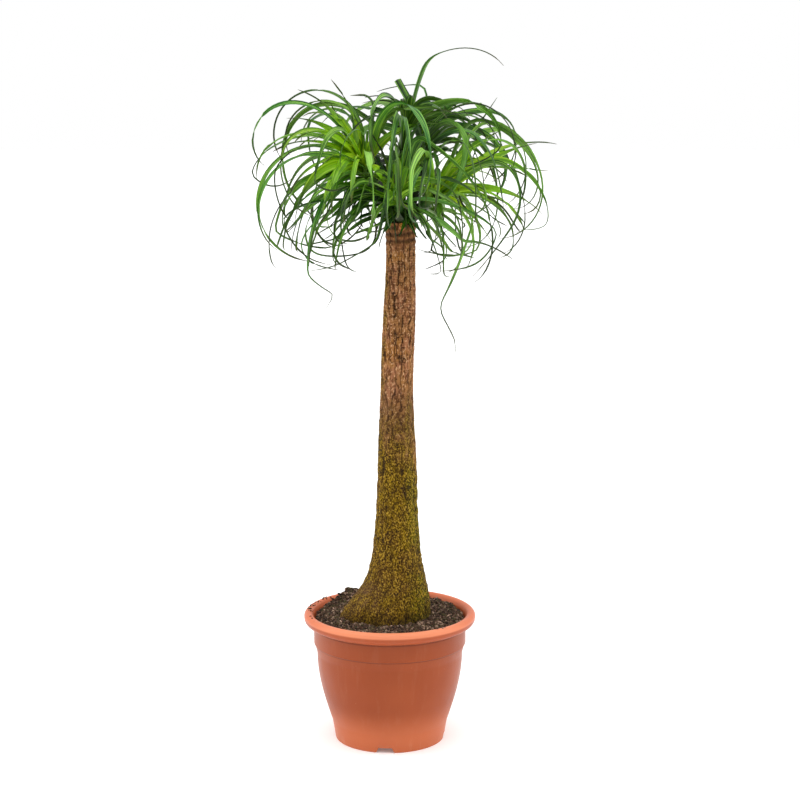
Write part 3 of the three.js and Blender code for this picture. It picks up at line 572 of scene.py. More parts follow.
def trunkRelief(angle, height):  # root lobes at the foot, slow swellings, leaf-scar rings at the top
    lobes = np.cos(5 * angle + 0.6) + 0.55 * np.cos(8 * angle - 1.2)
    swelling = np.sin(height / 37 + 2 * angle) + np.sin(height / 61 - 3 * angle)
    scars = scarWave(angle, height)
    scars = np.sign(scars) * np.abs(scars) ** 0.6
    lobeShare = trunk["lobe"] * bell(height - trunk["lobeHeight"], trunk["lobeFall"])
    swellShare = trunk["swelling"] * ease(240, 330, height)
    worn = 0.55 + 0.45 * softNoise(ringPoints(25, angle, height), 11, 60)
    scarShare = trunk["scarDepth"] * worn * ease(868, 895, height)
    return lobeShare * lobes + swellShare * swelling + scarShare * scars


def barkCracks(angle, height):  # upright cracks that wander, short ones between them, fewer lower down
    skin = ringPoints(27, angle, height)
    wander = 0.5 * softNoise(skin, 15, 41, 0.3) + 0.3 * softNoise(skin, 6, 42, 0.5)
    around = angle / turn * trunk["cracksAround"] + (wander + 0.12 * softNoise(skin, 2.5, 40))
    column = np.floor(around)
    across = np.minimum(around - column, 1 - around + column)
    column = column.astype(np.int64) % trunk["cracksAround"]
    number = hashed(np.stack([column, 0 * column, 0 * column], -1), 43)
    width = 0.12 + 0.07 * softNoise(skin, 7, 46, 0.45)
    upright = (1 - ease(0.3, 1, across / width)) * ease(-0.75, -0.1, softNoise(skin, 12, 47, 0.3))
    ridge = np.abs(softNoise(skin, 6.5, 48, 0.34))
    short = (1 - ease(0.02, 0.12, ridge)) * ease(-0.1, 0.35, softNoise(skin, 13, 49, 0.5))
    level = np.abs(softNoise(skin * (0.4, 0.4, 1), 8, 50))
    crossing = (1 - ease(0.01, 0.07, level)) * ease(0.1, 0.5, softNoise(skin, 10, 53))
    share = 0.52 + 0.48 * ease(*trunk["crackFrom"], height)
    return share * np.clip(np.maximum(np.maximum(upright, 0.75 * short), 0.6 * crossing), 0, 1), number


def barkWrinkles(angle, height):  # fine level lines whose phase drifts round the stem, only on the upper bark
    skin = ringPoints(27, angle, height)
    drift = 2.4 * softNoise(skin, 14, 54, 0.6) + 1.2 * softNoise(skin, 6, 55)
    wave = 0.5 + 0.5 * np.cos(turn * (height + drift) / trunk["wrinklePitch"])
    strong = ease(-0.4, 0.5, softNoise(skin, 11, 56, 0.7))
    return wave ** 2 * (0.25 + 0.75 * strong) * ease(640, 790, height)


def mossShare(angle, height):  # moss from the foot to the middle of the stem, in patches at its upper edge
    skin = ringPoints(30, angle, height * 0.5)
    ragged = 60 * softNoise(skin, 24, 51) + 34 * softNoise(skin, 9, 52) + 16 * softNoise(skin, 4, 57)
    rising = 1 - ease(*trunk["mossFrom"], height + ragged + 22 * np.cos(angle))
    onLeft = 0.75 * ease(0.8, 0.98, -np.cos(angle - 0.2))
    onLeft = onLeft * ease(600, 660, height) * (1 - ease(890, 915, height))
    return np.clip(np.maximum(rising, onLeft * ease(-0.5, 0.3, softNoise(skin, 12, 58))), 0, 1)


def knotShare(angle, height):  # small dark pits at their places, each a soft round spot
    share = 0 * height
    for degrees, level in trunk["knots"]:
        away = (angle - radians(degrees) + math.pi) % turn - math.pi
        share = np.maximum(share, bell(np.hypot(away * 29, (height - level) * 0.8), trunk["knotSize"]))
    return share


def trunkMaterial():  # tan bark above, green moss below, dark cracks, and a scarred band at the top
    material, tree = newMaterial("trunkBark")
    crack, moss, tone, dark = layerOf(tree, "barkLook")
    wrinkle, right, band, purple = layerOf(tree, "barkMarks")
    grain = noiseOf(tree, 215, 3, 0.65, (1, 1, 0.4))
    fibre = noiseOf(tree, 300, 2, 0.5, (1, 1, 0.2))
    speckle = noiseOf(tree, 250, 2, 0.6, (1, 1, 0.7))
    patches = noiseOf(tree, 60, 3, 0.6, (1, 1, 0.5))
    broad = noiseOf(tree, 17, 2, 0.5)
    flecks = noiseOf(tree, 430, 2, 0.6, (1, 1, 0.7))
    tan = layered(tree, (150, 102, 60), [
        (tone, 1, (169, 119, 70)),
        (patches, 0.42, 0.62, 0.7, (158, 104, 76)),
        (broad, 0.52, 0.64, 0.5, (166, 110, 40)),
        (grain, 0.5, 0.6, 0.85, (80, 44, 18)),
        (fibre, 0.54, 0.66, 0.55, (74, 42, 18)),
        (speckle, 0.55, 0.66, 0.8, (214, 166, 122)),
        (wrinkle, 0.6, (78, 46, 22)),
        (band, 1, mixColour(tree, speckle, (70, 42, 24), (168, 112, 68))),
    ])
    green = layered(tree, (94, 68, 2), [
        (patches, 0.36, 0.62, 1, (126, 98, 4)),
        (right, 0.6, (96, 102, 4)),
        (broad, 0.48, 0.62, 0.6, (116, 82, 30)),
        (grain, 0.5, 0.62, 0.7, (48, 30, 4)),
        (flecks, 0.51, 0.41, 0.85, (32, 19, 4)),
        (fibre, 0.54, 0.68, 0.55, (46, 30, 4)),
        (speckle, 0.54, 0.68, 0.4, (178, 142, 36)),
        (flecks, 0.55, 0.64, 0.85, (182, 146, 56)),
        (purple, 0.8, (94, 66, 52)),
    ])
    colour = layered(tree, tan, [(moss, 1, green), (crack, 0.95, (46, 26, 8)), (dark, 1, (34, 22, 14))])
    relief = sums(tree, "ADD", times(tree, grain, -1.6), speckle)
    roughness = between(tree, speckle, 0.3, 0.7, 0.72, 0.95)
    setShader(tree, colour, roughness, bumpOf(tree, relief, 0.9, 0.0014), Specular_IOR_Level=0.12)
    return material


def makeTrunk():  # rows of points up the stem, set in and out by cracks, grain, lumps and pits
    buried = np.linspace(trunk["bottom"], trunk["rowsFrom"], trunk["buriedRows"], endpoint=False)
    shown = np.arange(trunk["rowsFrom"], trunk["top"], trunk["rowStep"])
    heights = np.concatenate([buried, shown, [trunk["top"]]])
    angle, height = np.meshgrid(placesRound(trunk["columns"]), heights)
    radius = trunkRadius(height) + trunkRelief(angle, height)
    crack, number = barkCracks(angle, height)
    wrinkle = barkWrinkles(angle, height)
    knots = knotShare(angle, height)
    woody = 1 - ease(420, 600, height)
    skin = ringPoints(radius, angle, height)
    grain = softNoise(skin, 3.4, 61, 0.35) + 0.6 * softNoise(skin, 1.8, 62, 0.5)
    lumps = softNoise(skin, 7, 63, 0.6)
    pits = ease(0.62, 0.8, softNoise(skin, 8, 64, 0.6)) * trunk["pits"] * ease(240, 300, height)
    radius -= trunk["crackDepth"] * crack + trunk["wrinkleDepth"] * wrinkle + trunk["knotDepth"] * knots
    radius += trunk["grainDepth"] * (0.5 + 0.5 * woody) * grain + (0.45 + 0.7 * woody) * lumps
    radius -= pits
    squash = 1 - trunk["frontSquash"] * bell(np.maximum(height - trunk["ground"], 0), trunk["squashFall"])
    x = trunkMiddle(height) + radius * np.cos(angle)
    rings = np.stack([x, radius * np.sin(angle) * squash, height], -1)
    inset, topMiddle = trunk["topInset"], trunkMiddle(trunk["top"])
    inner = rings[-1] * (inset, inset, 1) + np.array([(1 - inset) * topMiddle, 0, 0])
    inner[:, 2] -= trunk["topLip"] + 0.8 * softNoise(inner, 6, 65)
    lowEnd = (trunkMiddle(trunk["bottom"]), 0, trunk["bottom"])
    highEnd = (topMiddle, 0, trunk["top"] - trunk["topDip"])
    points, faces = closedSkin(np.concatenate([rings, inner[None]]), [lowEnd, highEnd])
    piece = makeObject("trunk_bark", points, faces, trunkMaterial())
    blotch = 0.5 + 0.5 * softNoise(skin, 9, 67)
    worn = 0.5 + 0.5 * softNoise(skin, 5, 69)
    darkFoot = 0.7 * ease(252, 224, height + 10 * softNoise(skin, 12, 66)) * (0.6 + 0.4 * blotch)
    purple = bell(np.hypot((x + 42) / 1.3, height - 272), 26) * blotch * ease(0.3, -0.3, np.sin(angle))
    band = ease(890, 902, height + 4 * np.sin(angle + 0.7) + 5 * softNoise(skin, 9, 68))
    middle = 0.34 * bell(height - 600, 46) * (0.5 + blotch)
    scars = 0.9 * band * (0.5 - 0.5 * scarWave(angle, height)) * (0.4 + 0.6 * worn)
    dark = np.maximum.reduce([darkFoot, middle, knots, scars, 0.8 * pits])
    look = [crack, mossShare(angle, height), 0.5 * number + 0.5 * blotch, np.clip(dark, 0, 1)]
    marks = [wrinkle, ease(0.2, 0.95, np.cos(angle)), 0.8 * band, purple]
    onTop = {"barkLook": (look, [0.3, 0, 0.4, 0.6]), "barkMarks": (marks, [0, 0, 0.8, 0])}
    for name, (values, topValues) in onTop.items():
        values = np.stack(values, -1).reshape(-1, 4)
        paintPoints(piece, name, np.vstack([values, np.tile(topValues, (len(points) - len(values), 1))]))
    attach(piece, "root")
    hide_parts("trunk")


stub = {
    "at": (21, -22, 927), "axis": (0.12, -0.8, 0.42), "columns": 28, "sharpFrom": 50,
    "paleFrom": (8.7, 9.1), "lastDarkRow": 4,
    "outline": ((0, 0), (6.6, 0), (7, 3), (6.2, 6.5), (5.6, 8.6), (4.9, 9.1), (3, 8.5), (0, 8.3)),
}


def stubMaterial():  # fibrous wood, paler where it is cut
    material, tree = newMaterial("stubWood")
    cutFace = layerOf(tree, "stubLook")[0]
    fibre = noiseOf(tree, 420, 3, 0.6, (1, 1, 0.6))
    pale = layered(tree, (196, 112, 36), [(fibre, 0.4, 0.62, 1, (232, 170, 84))])
    colour = layered(tree, (116, 62, 26), [(fibre, 0.4, 0.62, 1, (176, 104, 48)), (cutFace, 1, pale)])
    setShader(tree, colour, between(tree, fibre, 0, 1, 0.6, 0.8), bumpOf(tree, fibre, 0.6, 0.0008))
    return material


def makeStub():  # the cut stump of a lost shoot at the front of the trunk's top, pale on its cut face
    outline = np.array(stub["outline"])
    columns = stub["columns"]
    axis = np.array(stub["axis"]) / np.linalg.norm(stub["axis"])
    around = placesRound(columns)[:, None]
    rough = 1 + 0.07 * np.sin(3 * around + 1) + 0.04 * np.sin(7 * around)
    ring = ringAcross(*squareTo(axis), columns) * rough * outline[1:-1, :1, None]
    rings = np.array(stub["at"]) + ring + axis * outline[1:-1, 1:, None]
    points, faces = closedSkin(rings, np.array(stub["at"]) + axis * outline[[0, -1], 1:])
    piece = makeObject("trunk_stub", points, faces, stubMaterial(), sharpAngle=stub["sharpFrom"])
    pale = ease(*stub["paleFrom"], outline[1:-1, 1]) + (np.arange(len(rings)) > stub["lastDarkRow"])
    pale = np.clip(np.append(np.repeat(pale, columns), [0, 1]), 0, 1)
    paintPoints(piece, "stubLook", np.stack([pale] * 4, -1))
    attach(piece, "root")


makeTrunk()
makeStub()
print("trunk made")


# Shoots: each stands on the trunk's top at its seat angle, bends by its knee and ends at its tip

shoots = {
    "left": {"seatAngle": 200, "knee": (-18, -16, 978), "tip": (-47, -27, 1042), "leaves": 24, "phase": 20},
    "front": {"seatAngle": 270, "knee": (17, -27, 960), "tip": (15, -47, 984), "leaves": 20, "phase": 84},
    "right": {"seatAngle": 340, "knee": (48, -9, 955), "tip": (83, -18, 986), "leaves": 23, "phase": 140},
    "back": {"seatAngle": 50, "knee": (50, 30, 1000), "tip": (62, 42, 1083), "leaves": 20, "phase": 200},
    "top": {"seatAngle": 125, "knee": (12, 22, 1010), "tip": (31, 14, 1104), "leaves": 18, "phase": 300},
}
shootLook = {  # how far the lime colour reaches, and how bright the leaves are
    "left": {"lime": 1.0, "limeLength": 90, "tone": 0.6},
    "front": {"lime": 0.7, "limeLength": 56, "tone": 0.16},
    "right": {"lime": 1.0, "limeLength": 150, "tone": 0.62},
    "back": {"lime": 0.45, "limeLength": 45, "tone": 0.35},
    "top": {"lime": 0.35, "limeLength": 45, "tone": 0.34},
}
neck = {
    "seatHeight": 936.3, "seatX": 19, "seatRing": 15, "baseRadius": 8, "swell": 3.5, "tipRadius": 7.5,
    "columns": 24, "rows": 22, "rootDepth": 4, "ribs": 6, "ribDepth": 0.45, "ribTurn": 9,
    "caps": ((3, 0.86), (5, 0.6), (6, 0.3)), "capTop": 6.3,
}


leafParts = ("azimuth", "rise", "turn", "bend", "length", "width", "roll", "twist", "from")


plainLeaf = {
    "from": 1, "kinks": (), "drift": 0, "cut": False, "tail": None, "sway": 0, "swayStart": 0, "age": 0.5,
    "shown": True, "lime": 1,
}


def leafOf(*form, **more):  # the numbers in the order of leafParts, and what differs from a plain leaf
    return {**plainLeaf, **dict(zip(leafParts, form)), **more}


# The leaves that show one by one. A leaf heads along its azimuth at the angle rise above the level and turns
# down by turn in all, late with a large bend. A kink is (share of the length, angle, spread), and a tail is
# (share of the length, width).
shownLeaves = {
    "left": [
        leafOf(165, 108, 232, 1.12, 333, 11, 20, 60),
        leafOf(200, 62, 205, 1.8, 320, 11, 30, 80),
        leafOf(150, 110, 196, 1.05, 218, 12, 35, 30),
        leafOf(185, 112, 228, 1.1, 272, 10, 30, 60),
        leafOf(215, 78, 0, 1, 80, 13, 50, 10),
        leafOf(170, 63, 0, 1, 112, 10, 40, 20),
        leafOf(190, 44, 140, 1.6, 240, 11, 30, 90, 0.98),
        leafOf(208, 30, 75, 0.65, 142, 14, 40, 40, 0.9),
        leafOf(215, 20, 170, 1.7, 338, 13, 40, 60, 0.95),
        leafOf(180, 44, 220, 1.05, 392, 11, 20, 100, 0.96),
        leafOf(238, 34, 0, 1, 210, 14, 45, 20, 0.88, kinks=[(0.1, -110, 0.45), (0.55, 40, 0.35)]),
        leafOf(
            225, 28, 140, 0.52, 340, 13, 40, 120, 0.84,
            kinks=[(0.68, -50, 0.08), (0.9, 110, 0.05)], tail=(0.72, 3.4),
        ),
        leafOf(338, 62, 38, 3, 220, 13, 60, 10, kinks=[(0.38, -48, 0.12)]),
    ],
    "front": [
        leafOf(
            250, 98, 12, 1, 368, 13, 60, 20, drift=-80,
            kinks=[(0.14, -165, 0.14), (0.6, 50, 0.12), (0.82, 20, 0.15)],
        ),
        leafOf(-42, 72, 128, 3.1, 440, 14, 50, 30, kinks=[(0.19, -95, 0.1)]),
        leafOf(-42, -20, 62, 0.8, 178, 10, 40, 40, 0.75, kinks=[(0.82, -95, 0.08)]),
        leafOf(145, 56, 0, 1, 225, 10, 50, 30, kinks=[(0.3, 40, 0.25), (0.68, -100, 0.25)]),
    ],
    "right": [
        leafOf(20, 62, 10, 1, 195, 7, 30, 0),
        leafOf(-8, 70, 160, 4, 376, 12, 30, 60, kinks=[(0.27, -90, 0.2)]),
        leafOf(6, 64, 175, 2.2, 447, 11, 30, 80, 0.97, kinks=[(0.26, -70, 0.16)]),
        leafOf(14, 64, 6, 1, 232, 8, 30, 30, kinks=[(0.18, -64, 0.1)]),
        leafOf(-48, 30, 30, 1, 420, 14, 40, 60, kinks=[(0.24, -140, 0.5)]),
        leafOf(-35, -18, 112, 1.4, 165, 14, 50, 30, 0.95),
        leafOf(
            -45, 14, 30, 1, 375, 13, 40, 60, 0.88,
            kinks=[(0.08, -115, 0.3), (0.72, 75, 0.12), (0.92, -30, 0.06)], tail=(0.68, 2.8),
        ),
        leafOf(-50, -58, 20, 1, 165, 11, 40, 30, 0.8, kinks=[(0.5, -85, 0.25)]),
    ],
    "back": [
        leafOf(182, 104, 42, 1, 168, 8, 30, 30, kinks=[(0.42, -80, 0.2)], tail=(0.62, 1.9)),
        leafOf(2, 82, 165, 0.75, 192, 13, 40, 20),
    ],
    "top": [
        leafOf(-5, 79, 97, 2.2, 257, 12, 30, 60, kinks=[(0.36, -33, 0.2)], tail=(0.5, 1.9)),
        leafOf(160, 97, 0, 1, 82, 10, 50, 0, cut=True, kinks=[(0.5, -38, 0.08)]),
        leafOf(-25, 84, 208, 1.35, 130, 13, 50, 20),
    ],
}
leafForm = {
    "stepLength": 42, "fewestSteps": 4, "mostSteps": 10, "substeps": 8, "taper": 0.85, "baseShare": 0.6,
    "fullWidthAt": 0.15, "solidTip": 1.1, "tipWidth": 0.9, "keelBase": 0.84, "keelPerWidth": 0.04,
    "cutWidth": 0.8, "swayWaves": 1.7, "twistBend": 1.3, "channel": 0.13, "everyStep": 2,
    "thickness": (0.75, 0.25, 0.07), "across": (-1, -0.5, 0, 0.5, 1, 0.5, 0, -0.5),
    "hollow": (1, 0.32, 0, 0.32, 1, 0.32, 0, 0.32), "under": (0, 0, 0, 0, 0, 1, 1, 1), "pointed": 0.3,
}
# The seeded leaves: each value starts at its first number, and the draw or the age adds to it
drawn = {
    "lowest": 0.6, "turnBetween": 137.508, "looseness": 24, "loosenPerTry": 1.5, "loosenTries": 80,
    "spread": 10, "spreadWithAge": 86, "spreadBend": 0.85, "spreadRange": 22, "length": 300,
    "lengthWithAge": 150, "lengthAge": 1.15, "lengthRange": 90, "shortenByTries": 0.55, "hangingShare": 0.85,
    "turn": 80, "turnRange": 110, "leastTurn": 40, "bendRange": 0.9, "bendWithAge": 0.5, "width": 9.5,
    "widthRange": 4.5, "roll": 30, "rollRange": 60, "twistRange": 340, "driftRange": 90, "sway": 4,
    "swayRange": 8, "kinkChance": 0.4, "kinkAt": 0.5, "kinkAtRange": 0.4, "kinkTurn": 70, "kinkSpread": 0.05,
}
space = {
    "cell": 3, "low": (-330, -330, 640), "count": 234, "trunkId": 9, "trunkRadius": 28, "trunkStep": 2,
    "neckSamples": 60, "samplesPerStep": 20, "tubeTurn": 15, "tubeShares": (1, 0.65, 0.3),
    "rows": (-1, -2 / 3, -1 / 3, 0, 1 / 3, 2 / 3, 1),
}


trials = {  # tries for a leaf, the crossings allowed at first and more at each try, and its cells' margin
    "solid": {"tries": 300, "crowding": 8, "looser": 1, "margin": 1, "every": leafForm["substeps"]},
    "extra": {"tries": 60, "crowding": 60, "looser": 6, "margin": 0, "every": 1},
}


extraTurns = {
    "seed": 1000, "seedStep": 37, "phase": 61, "scatter": 40, "kinkAt": (0.45, 0.9), "kinkTurn": (-90, 90),
    "kinkSpread": 0.06, "leastTurn": 10, "turnWithRise": 0.4, "roll": (0, 70), "youngFrom": 0.9,
}
crown = {
    "middle": (20, 0, 985), "reach": (262, 258, 174), "roundness": 2.6, "clearHalfWidth": 40, "clearBack": 12,
    "clearBelow": 922, "ownClear": 50,
}
# The leaves that only the finish adds: for each kind the count on a shoot and the range of each value
extraKinds = {
    "young": {
        "count": 6, "from": (0.93, 1.0), "spread": (3, 38), "length": (90, 180), "width": (9, 13),
        "turn": (45, 95), "bend": (1.0, 2.2), "twist": (-120, 120), "drift": (-20, 20), "age": 0.05,
        "kinkChance": 0.1, "sway": (0, 4),
    },
    "fill": {
        "count": 3, "from": (0.45, 0.95), "spread": (35, 95), "length": (130, 290), "width": (8, 12),
        "turn": (80, 200), "bend": (0.8, 1.7), "twist": (-200, 200), "drift": (-45, 45), "age": 0.5,
        "kinkChance": 0.25, "sway": (2, 10),
    },
    "thread": {
        "count": 3, "from": (0.5, 1.0), "spread": (25, 90), "length": (220, 400), "width": (3.6, 5.6),
        "turn": (180, 330), "bend": (0.8, 1.7), "twist": (-300, 300), "drift": (-90, 90), "age": 0.8,
        "kinkChance": 0.2, "sway": (3, 14),
    },
}
# The broad young blades that fan out of the hearts and the short ones over the trunk's top: azimuth, rise,
# turn, bend, length, width, roll, twist and where they start on the shoot
broadBlades = {
    "left": [
        (200, 86, 40, 1.5, 150, 14, 75, 30, 1), (200, 70, 55, 1.5, 170, 13, 60, -50, 1),
        (205, 54, 60, 1.4, 160, 12, 75, 60, 1), (195, 38, 70, 1.3, 165, 12, 60, -60, 0.98),
        (212, 18, 80, 1.2, 160, 13, 50, 70, 0.97), (335, 72, 50, 1.5, 120, 12, 70, -30, 0.98),
        (-15, 64, 96, 1.0, 215, 14, 55, 30, 0.95), (236, 8, 95, 1.2, 160, 14, 25, 30, 0.95),
        (262, 24, 118, 1.3, 165, 14, 10, 20, 0.97), (292, 12, 100, 1.3, 140, 13, 10, -30, 0.93),
        (222, 20, 110, 1.1, 210, 15, 60, 20, 0.92), (248, 26, 130, 1.2, 190, 15, 45, -20, 0.97),
        (330, 10, 100, 1.2, 125, 15, 10, 10, 0.6), (300, -20, 70, 1.1, 105, 15, 0, 10, 0.5),
        (190, -5, 95, 1.2, 255, 10, 40, 60, 0.7), (205, 5, 110, 1.2, 275, 10, 30, -60, 0.75),
        (170, 0, 100, 1.2, 245, 10, 40, 60, 0.65), (215, -10, 80, 1.2, 225, 11, 30, 40, 0.6),
        (228, 0, 95, 1.2, 235, 11, 20, -40, 0.7), (182, 15, 130, 1.1, 290, 10, 40, 90, 0.8),
        (200, -25, 60, 1.2, 215, 12, 30, 30, 0.6), (235, -20, 75, 1.3, 205, 12, 20, -30, 0.55),
        (160, -10, 90, 1.2, 215, 12, 40, 30, 0.55), (250, 5, 95, 1.2, 230, 11, 10, 30, 0.75),
        (218, 12, 120, 1.1, 285, 11, 40, -60, 0.85),
    ],
    "front": [
        (188, 78, 26, 1.5, 125, 14, 80, 20, 1), (-20, 84, 60, 2.4, 165, 14, 75, -20, 1),
        (-12, 66, 70, 1.8, 150, 13, 60, 40, 1), (215, 50, 90, 1.4, 140, 13, 40, 30, 0.95),
        (225, -32, 42, 1, 78, 13, 10, -20, 0.4), (308, -32, 46, 1, 84, 14, 0, 10, 0.4),
        (322, -26, 50, 1, 92, 13, 0, 20, 0.5),
    ],
    "right": [
        (-12, 38, 26, 1.5, 190, 15, 80, -30, 1), (-8, 60, 34, 1.5, 150, 14, 75, 30, 1),
        (4, 48, 58, 1.3, 230, 12, 65, -60, 1), (172, 80, 40, 1.4, 140, 13, 70, 40, 0.97),
        (-20, 18, 62, 1.3, 200, 13, 60, 50, 0.97), (-34, -12, 45, 1, 140, 15, 50, 30, 0.95),
        (-78, -16, 66, 1.1, 120, 13, 10, 20, 0.9), (-100, 40, 120, 1.5, 150, 13, 10, -20, 1),
        (210, 14, 90, 1.2, 115, 15, 20, 10, 0.6), (240, -10, 80, 1.1, 110, 15, 0, 0, 0.5),
    ],
    "back": [
        (0, 34, 100, 1.2, 170, 12, 60, 30, 0.95), (-30, 22, 100, 1.2, 170, 13, 40, 40, 0.9),
        (225, 10, 80, 1.2, 135, 16, 10, 20, 0.5), (262, 5, 95, 1.2, 130, 16, 10, -20, 0.6),
        (300, 0, 90, 1.2, 130, 16, 0, 20, 0.5), (200, 20, 100, 1.2, 150, 16, 30, 0, 0.7),
    ],
    "top": [
        (0, 40, 112, 1.2, 170, 14, 60, 30, 0.95), (178, 48, 100, 1.3, 165, 13, 55, -40, 0.95),
        (-62, 50, 95, 1.3, 160, 14, 20, 40, 0.95), (230, 42, 95, 1.3, 160, 13, 20, -30, 0.9),
        (262, 10, 90, 1.2, 120, 14, 10, 20, 0.75), (300, 14, 100, 1.2, 130, 14, 10, -20, 0.7),
        (240, -5, 80, 1.1, 125, 16, 0, 10, 0.5), (280, -10, 80, 1.1, 120, 16, 0, -10, 0.45),
        (320, 0, 90, 1.1, 130, 16, 10, 10, 0.55), (200, 0, 90, 1.1, 130, 16, 30, 10, 0.5),
    ],
}
# How a blade is finished: broader than the solid's, with sudden turns of its flat side and a long thin tail
finish = {
    "youngWider": 1.3, "oldWider": 0.88, "youngAge": (0.55, 0.1), "narrowing": 0.3, "turns": 2,
    "cutWider": 1.3, "highEnd": (886, 936), "lowEnd": (836, 872), "lowShare": 0.38, "leastKept": 0.4,
    "levelling": 32, "cutBelow": 20, "turnAt": (0.28, 0.85), "turnBy": (50, 170), "turnOver": (0.05, 0.15),
    "tailFrom": (0.42, 0.78), "tailLater": 0.08, "tailSpread": 0.32, "shownSpread": 0.14,
    "tailWidth": (2.4, 4.0), "tailFold": 0.25, "endShare": 0.07, "frontRange": 0.8, "frontTail": 0.22,
    # shadeMiddle, shadeReach and shadeFront place the painted shade in the crown; darkTail is how dark the
    # painted shade on a tail may be
    "frontEnd": (900, 965), "shadeMiddle": (20, 10, 985), "shadeReach": (104, 92, 106),
    "shadeFront": (-72, -12), "darkTail": (0.5, 1.0), "seed": 9, "sharpFrom": 60,
}


def seededDraw(seed):  # a 32-bit generator, the same one as the solids use
    state = seed & 0xFFFFFFFF

    def draw():
        nonlocal state
        state = (state + 0x6D2B79F5) & 0xFFFFFFFF
        mixed = ((state ^ (state >> 15)) * (1 | state)) & 0xFFFFFFFF
        mixed = ((mixed + (((mixed ^ (mixed >> 7)) * (61 | mixed)) & 0xFFFFFFFF)) & 0xFFFFFFFF) ^ mixed
        return ((mixed ^ (mixed >> 14)) & 0xFFFFFFFF) / 4294967296

    return draw


def shootPoints(shoot):  # the seat on the trunk's top, the knee and the tip
    around = math.radians(shoot["seatAngle"])
    x = neck["seatX"] + neck["seatRing"] * math.cos(around)
    seat = (x, neck["seatRing"] * math.sin(around), neck["seatHeight"])
    return np.array(seat), np.array(shoot["knee"], float), np.array(shoot["tip"], float)


def shootPlace(shoot, share):  # a curve that starts towards the knee and ends away from it
    seat, knee, tip = shootPoints(shoot)
    share = np.asarray(share, float)[..., None]
    return (1 - share) ** 2 * seat + 2 * (1 - share) * share * knee + share ** 2 * tip


def shootHeading(shoot, share):  # the direction of that curve
    seat, knee, tip = shootPoints(shoot)
    heading = (knee - seat) * (1 - share) + (tip - knee) * share
    return heading / np.linalg.norm(heading)


def leafPath(leaf, shoot):  # fine points along a leaf, its flat side's direction and its keel's at each
    wanted = math.ceil(leaf["length"] / leafForm["stepLength"])
    steps = min(max(wanted, leafForm["fewestSteps"]), leafForm["mostSteps"])
    fine = steps * leafForm["substeps"]
    share = (np.arange(fine) + 0.5) / fine
    wave = leafForm["swayWaves"] * share + leaf["swayStart"]
    elevation = leaf["rise"] - leaf["turn"] * share ** leaf["bend"] + leaf["sway"] * np.sin(turn * wave)
    for start, angle, spread in leaf["kinks"]:
        elevation = elevation + angle * ease(start, start + spread, share)
    elevation = radians(elevation)
    azimuth = radians(leaf["azimuth"] + leaf["drift"] * share * share)
    heading = ringPoints(np.cos(elevation), azimuth, np.sin(elevation))
    root = shootPlace(shoot, leaf["from"])
    start = root + ringPoints(neck["rootDepth"], math.radians(leaf["azimuth"]), 0)
    middle = np.vstack([start, start + np.cumsum(heading * (leaf["length"] / fine), axis=0)])
    pick = np.maximum(np.arange(fine + 1) - 1, 0)
    level = np.stack([-np.sin(azimuth), np.cos(azimuth), 0 * azimuth], -1)[pick]
    normal = np.cross(level, heading[pick])
    along = np.arange(fine + 1) / fine
    roll = radians(leaf["roll"] + leaf["twist"] * along ** leafForm["twistBend"])[:, None]
    flat = level * np.cos(roll) + normal * np.sin(roll)
    keel = level * np.sin(roll) - normal * np.cos(roll)
    return middle, flat, keel, along


def baseGrowth(share):  # a leaf is narrower at its root
    base = leafForm["baseShare"]
    return base + (1 - base) * np.minimum(share / leafForm["fullWidthAt"], 1)


def leafWidth(leaf, share, tip):  # narrows to the tip by a power of what is left of the length
    width = leaf["width"] * baseGrowth(share) * (1 - share) ** leafForm["taper"]
    return np.maximum(width, leafForm["cutWidth"] * leaf["width"] if leaf["cut"] else tip)


# The crown's space: a grid of cells that each hold the number of the first shoot that reached it

spaceGrid = np.zeros(space["count"] ** 3, np.uint8)


def cellOf(points):  # the number of each point's cell
    cell = np.floor((points - np.array(space["low"])) / space["cell"]).astype(np.int64)
    cell = np.clip(cell, 1, space["count"] - 2)
    return (cell[..., 0] * space["count"] + cell[..., 1]) * space["count"] + cell[..., 2]


def markCells(cells, number, reach=1):  # and those next to them, where no shoot was before
    cells = np.unique(cells)
    row = space["count"]
    near = range(-reach, reach + 1)
    for i, j, k in itertools.product(near, near, near):
        place = cells + (i * row + j) * row + k
        place = place[spaceGrid[place] == 0]
        spaceGrid[place] = number


def leafCells(path, leaf):  # rows of cells across the flat side and along the keel
    middle, flat, keel, along = (part[:: leafForm["substeps"]] for part in path)
    width = leafWidth(leaf, along, leafForm["solidTip"])
    flat = flat * (width / 2)[:, None]
    keel = keel * (leafForm["keelBase"] + leafForm["keelPerWidth"] * width)[:, None]
    sample = np.arange((len(along) - 1) * space["samplesPerStep"] + 1) / space["samplesPerStep"]
    index = np.minimum(np.floor(sample).astype(int), len(along) - 2)
    part = (sample - index)[:, None]
    rows = []
    for offset in [flat * weight for weight in space["rows"]] + [keel]:
        ridge = middle + offset
        rows.append(cellOf(ridge[index] * (1 - part) + ridge[index + 1] * part))
    return np.array(rows)


def tubeCells(points, radius):  # the cells of a round rod along a row of points
    around = radians(np.arange(0, 360, space["tubeTurn"]))
    rings = np.concatenate([ringPoints(radius * share, around, 0) for share in space["tubeShares"]])
    return cellOf((points[:, None] + rings[None]).reshape(-1, 3))


def markStems():  # the trunk's top and each shoot's stalk are taken from the start
    heights = np.arange(space["low"][2] + 5, neck["seatHeight"] - 0.3, space["trunkStep"])
    column = np.stack([0 * heights + neck["seatX"], 0 * heights, heights], -1)
    markCells(tubeCells(column, space["trunkRadius"]), space["trunkId"])
    share = np.linspace(0, 1, space["neckSamples"])
    for number, shoot in enumerate(shoots.values(), 1):
        markCells(tubeCells(shootPlace(shoot, share), neck["baseRadius"]), number)


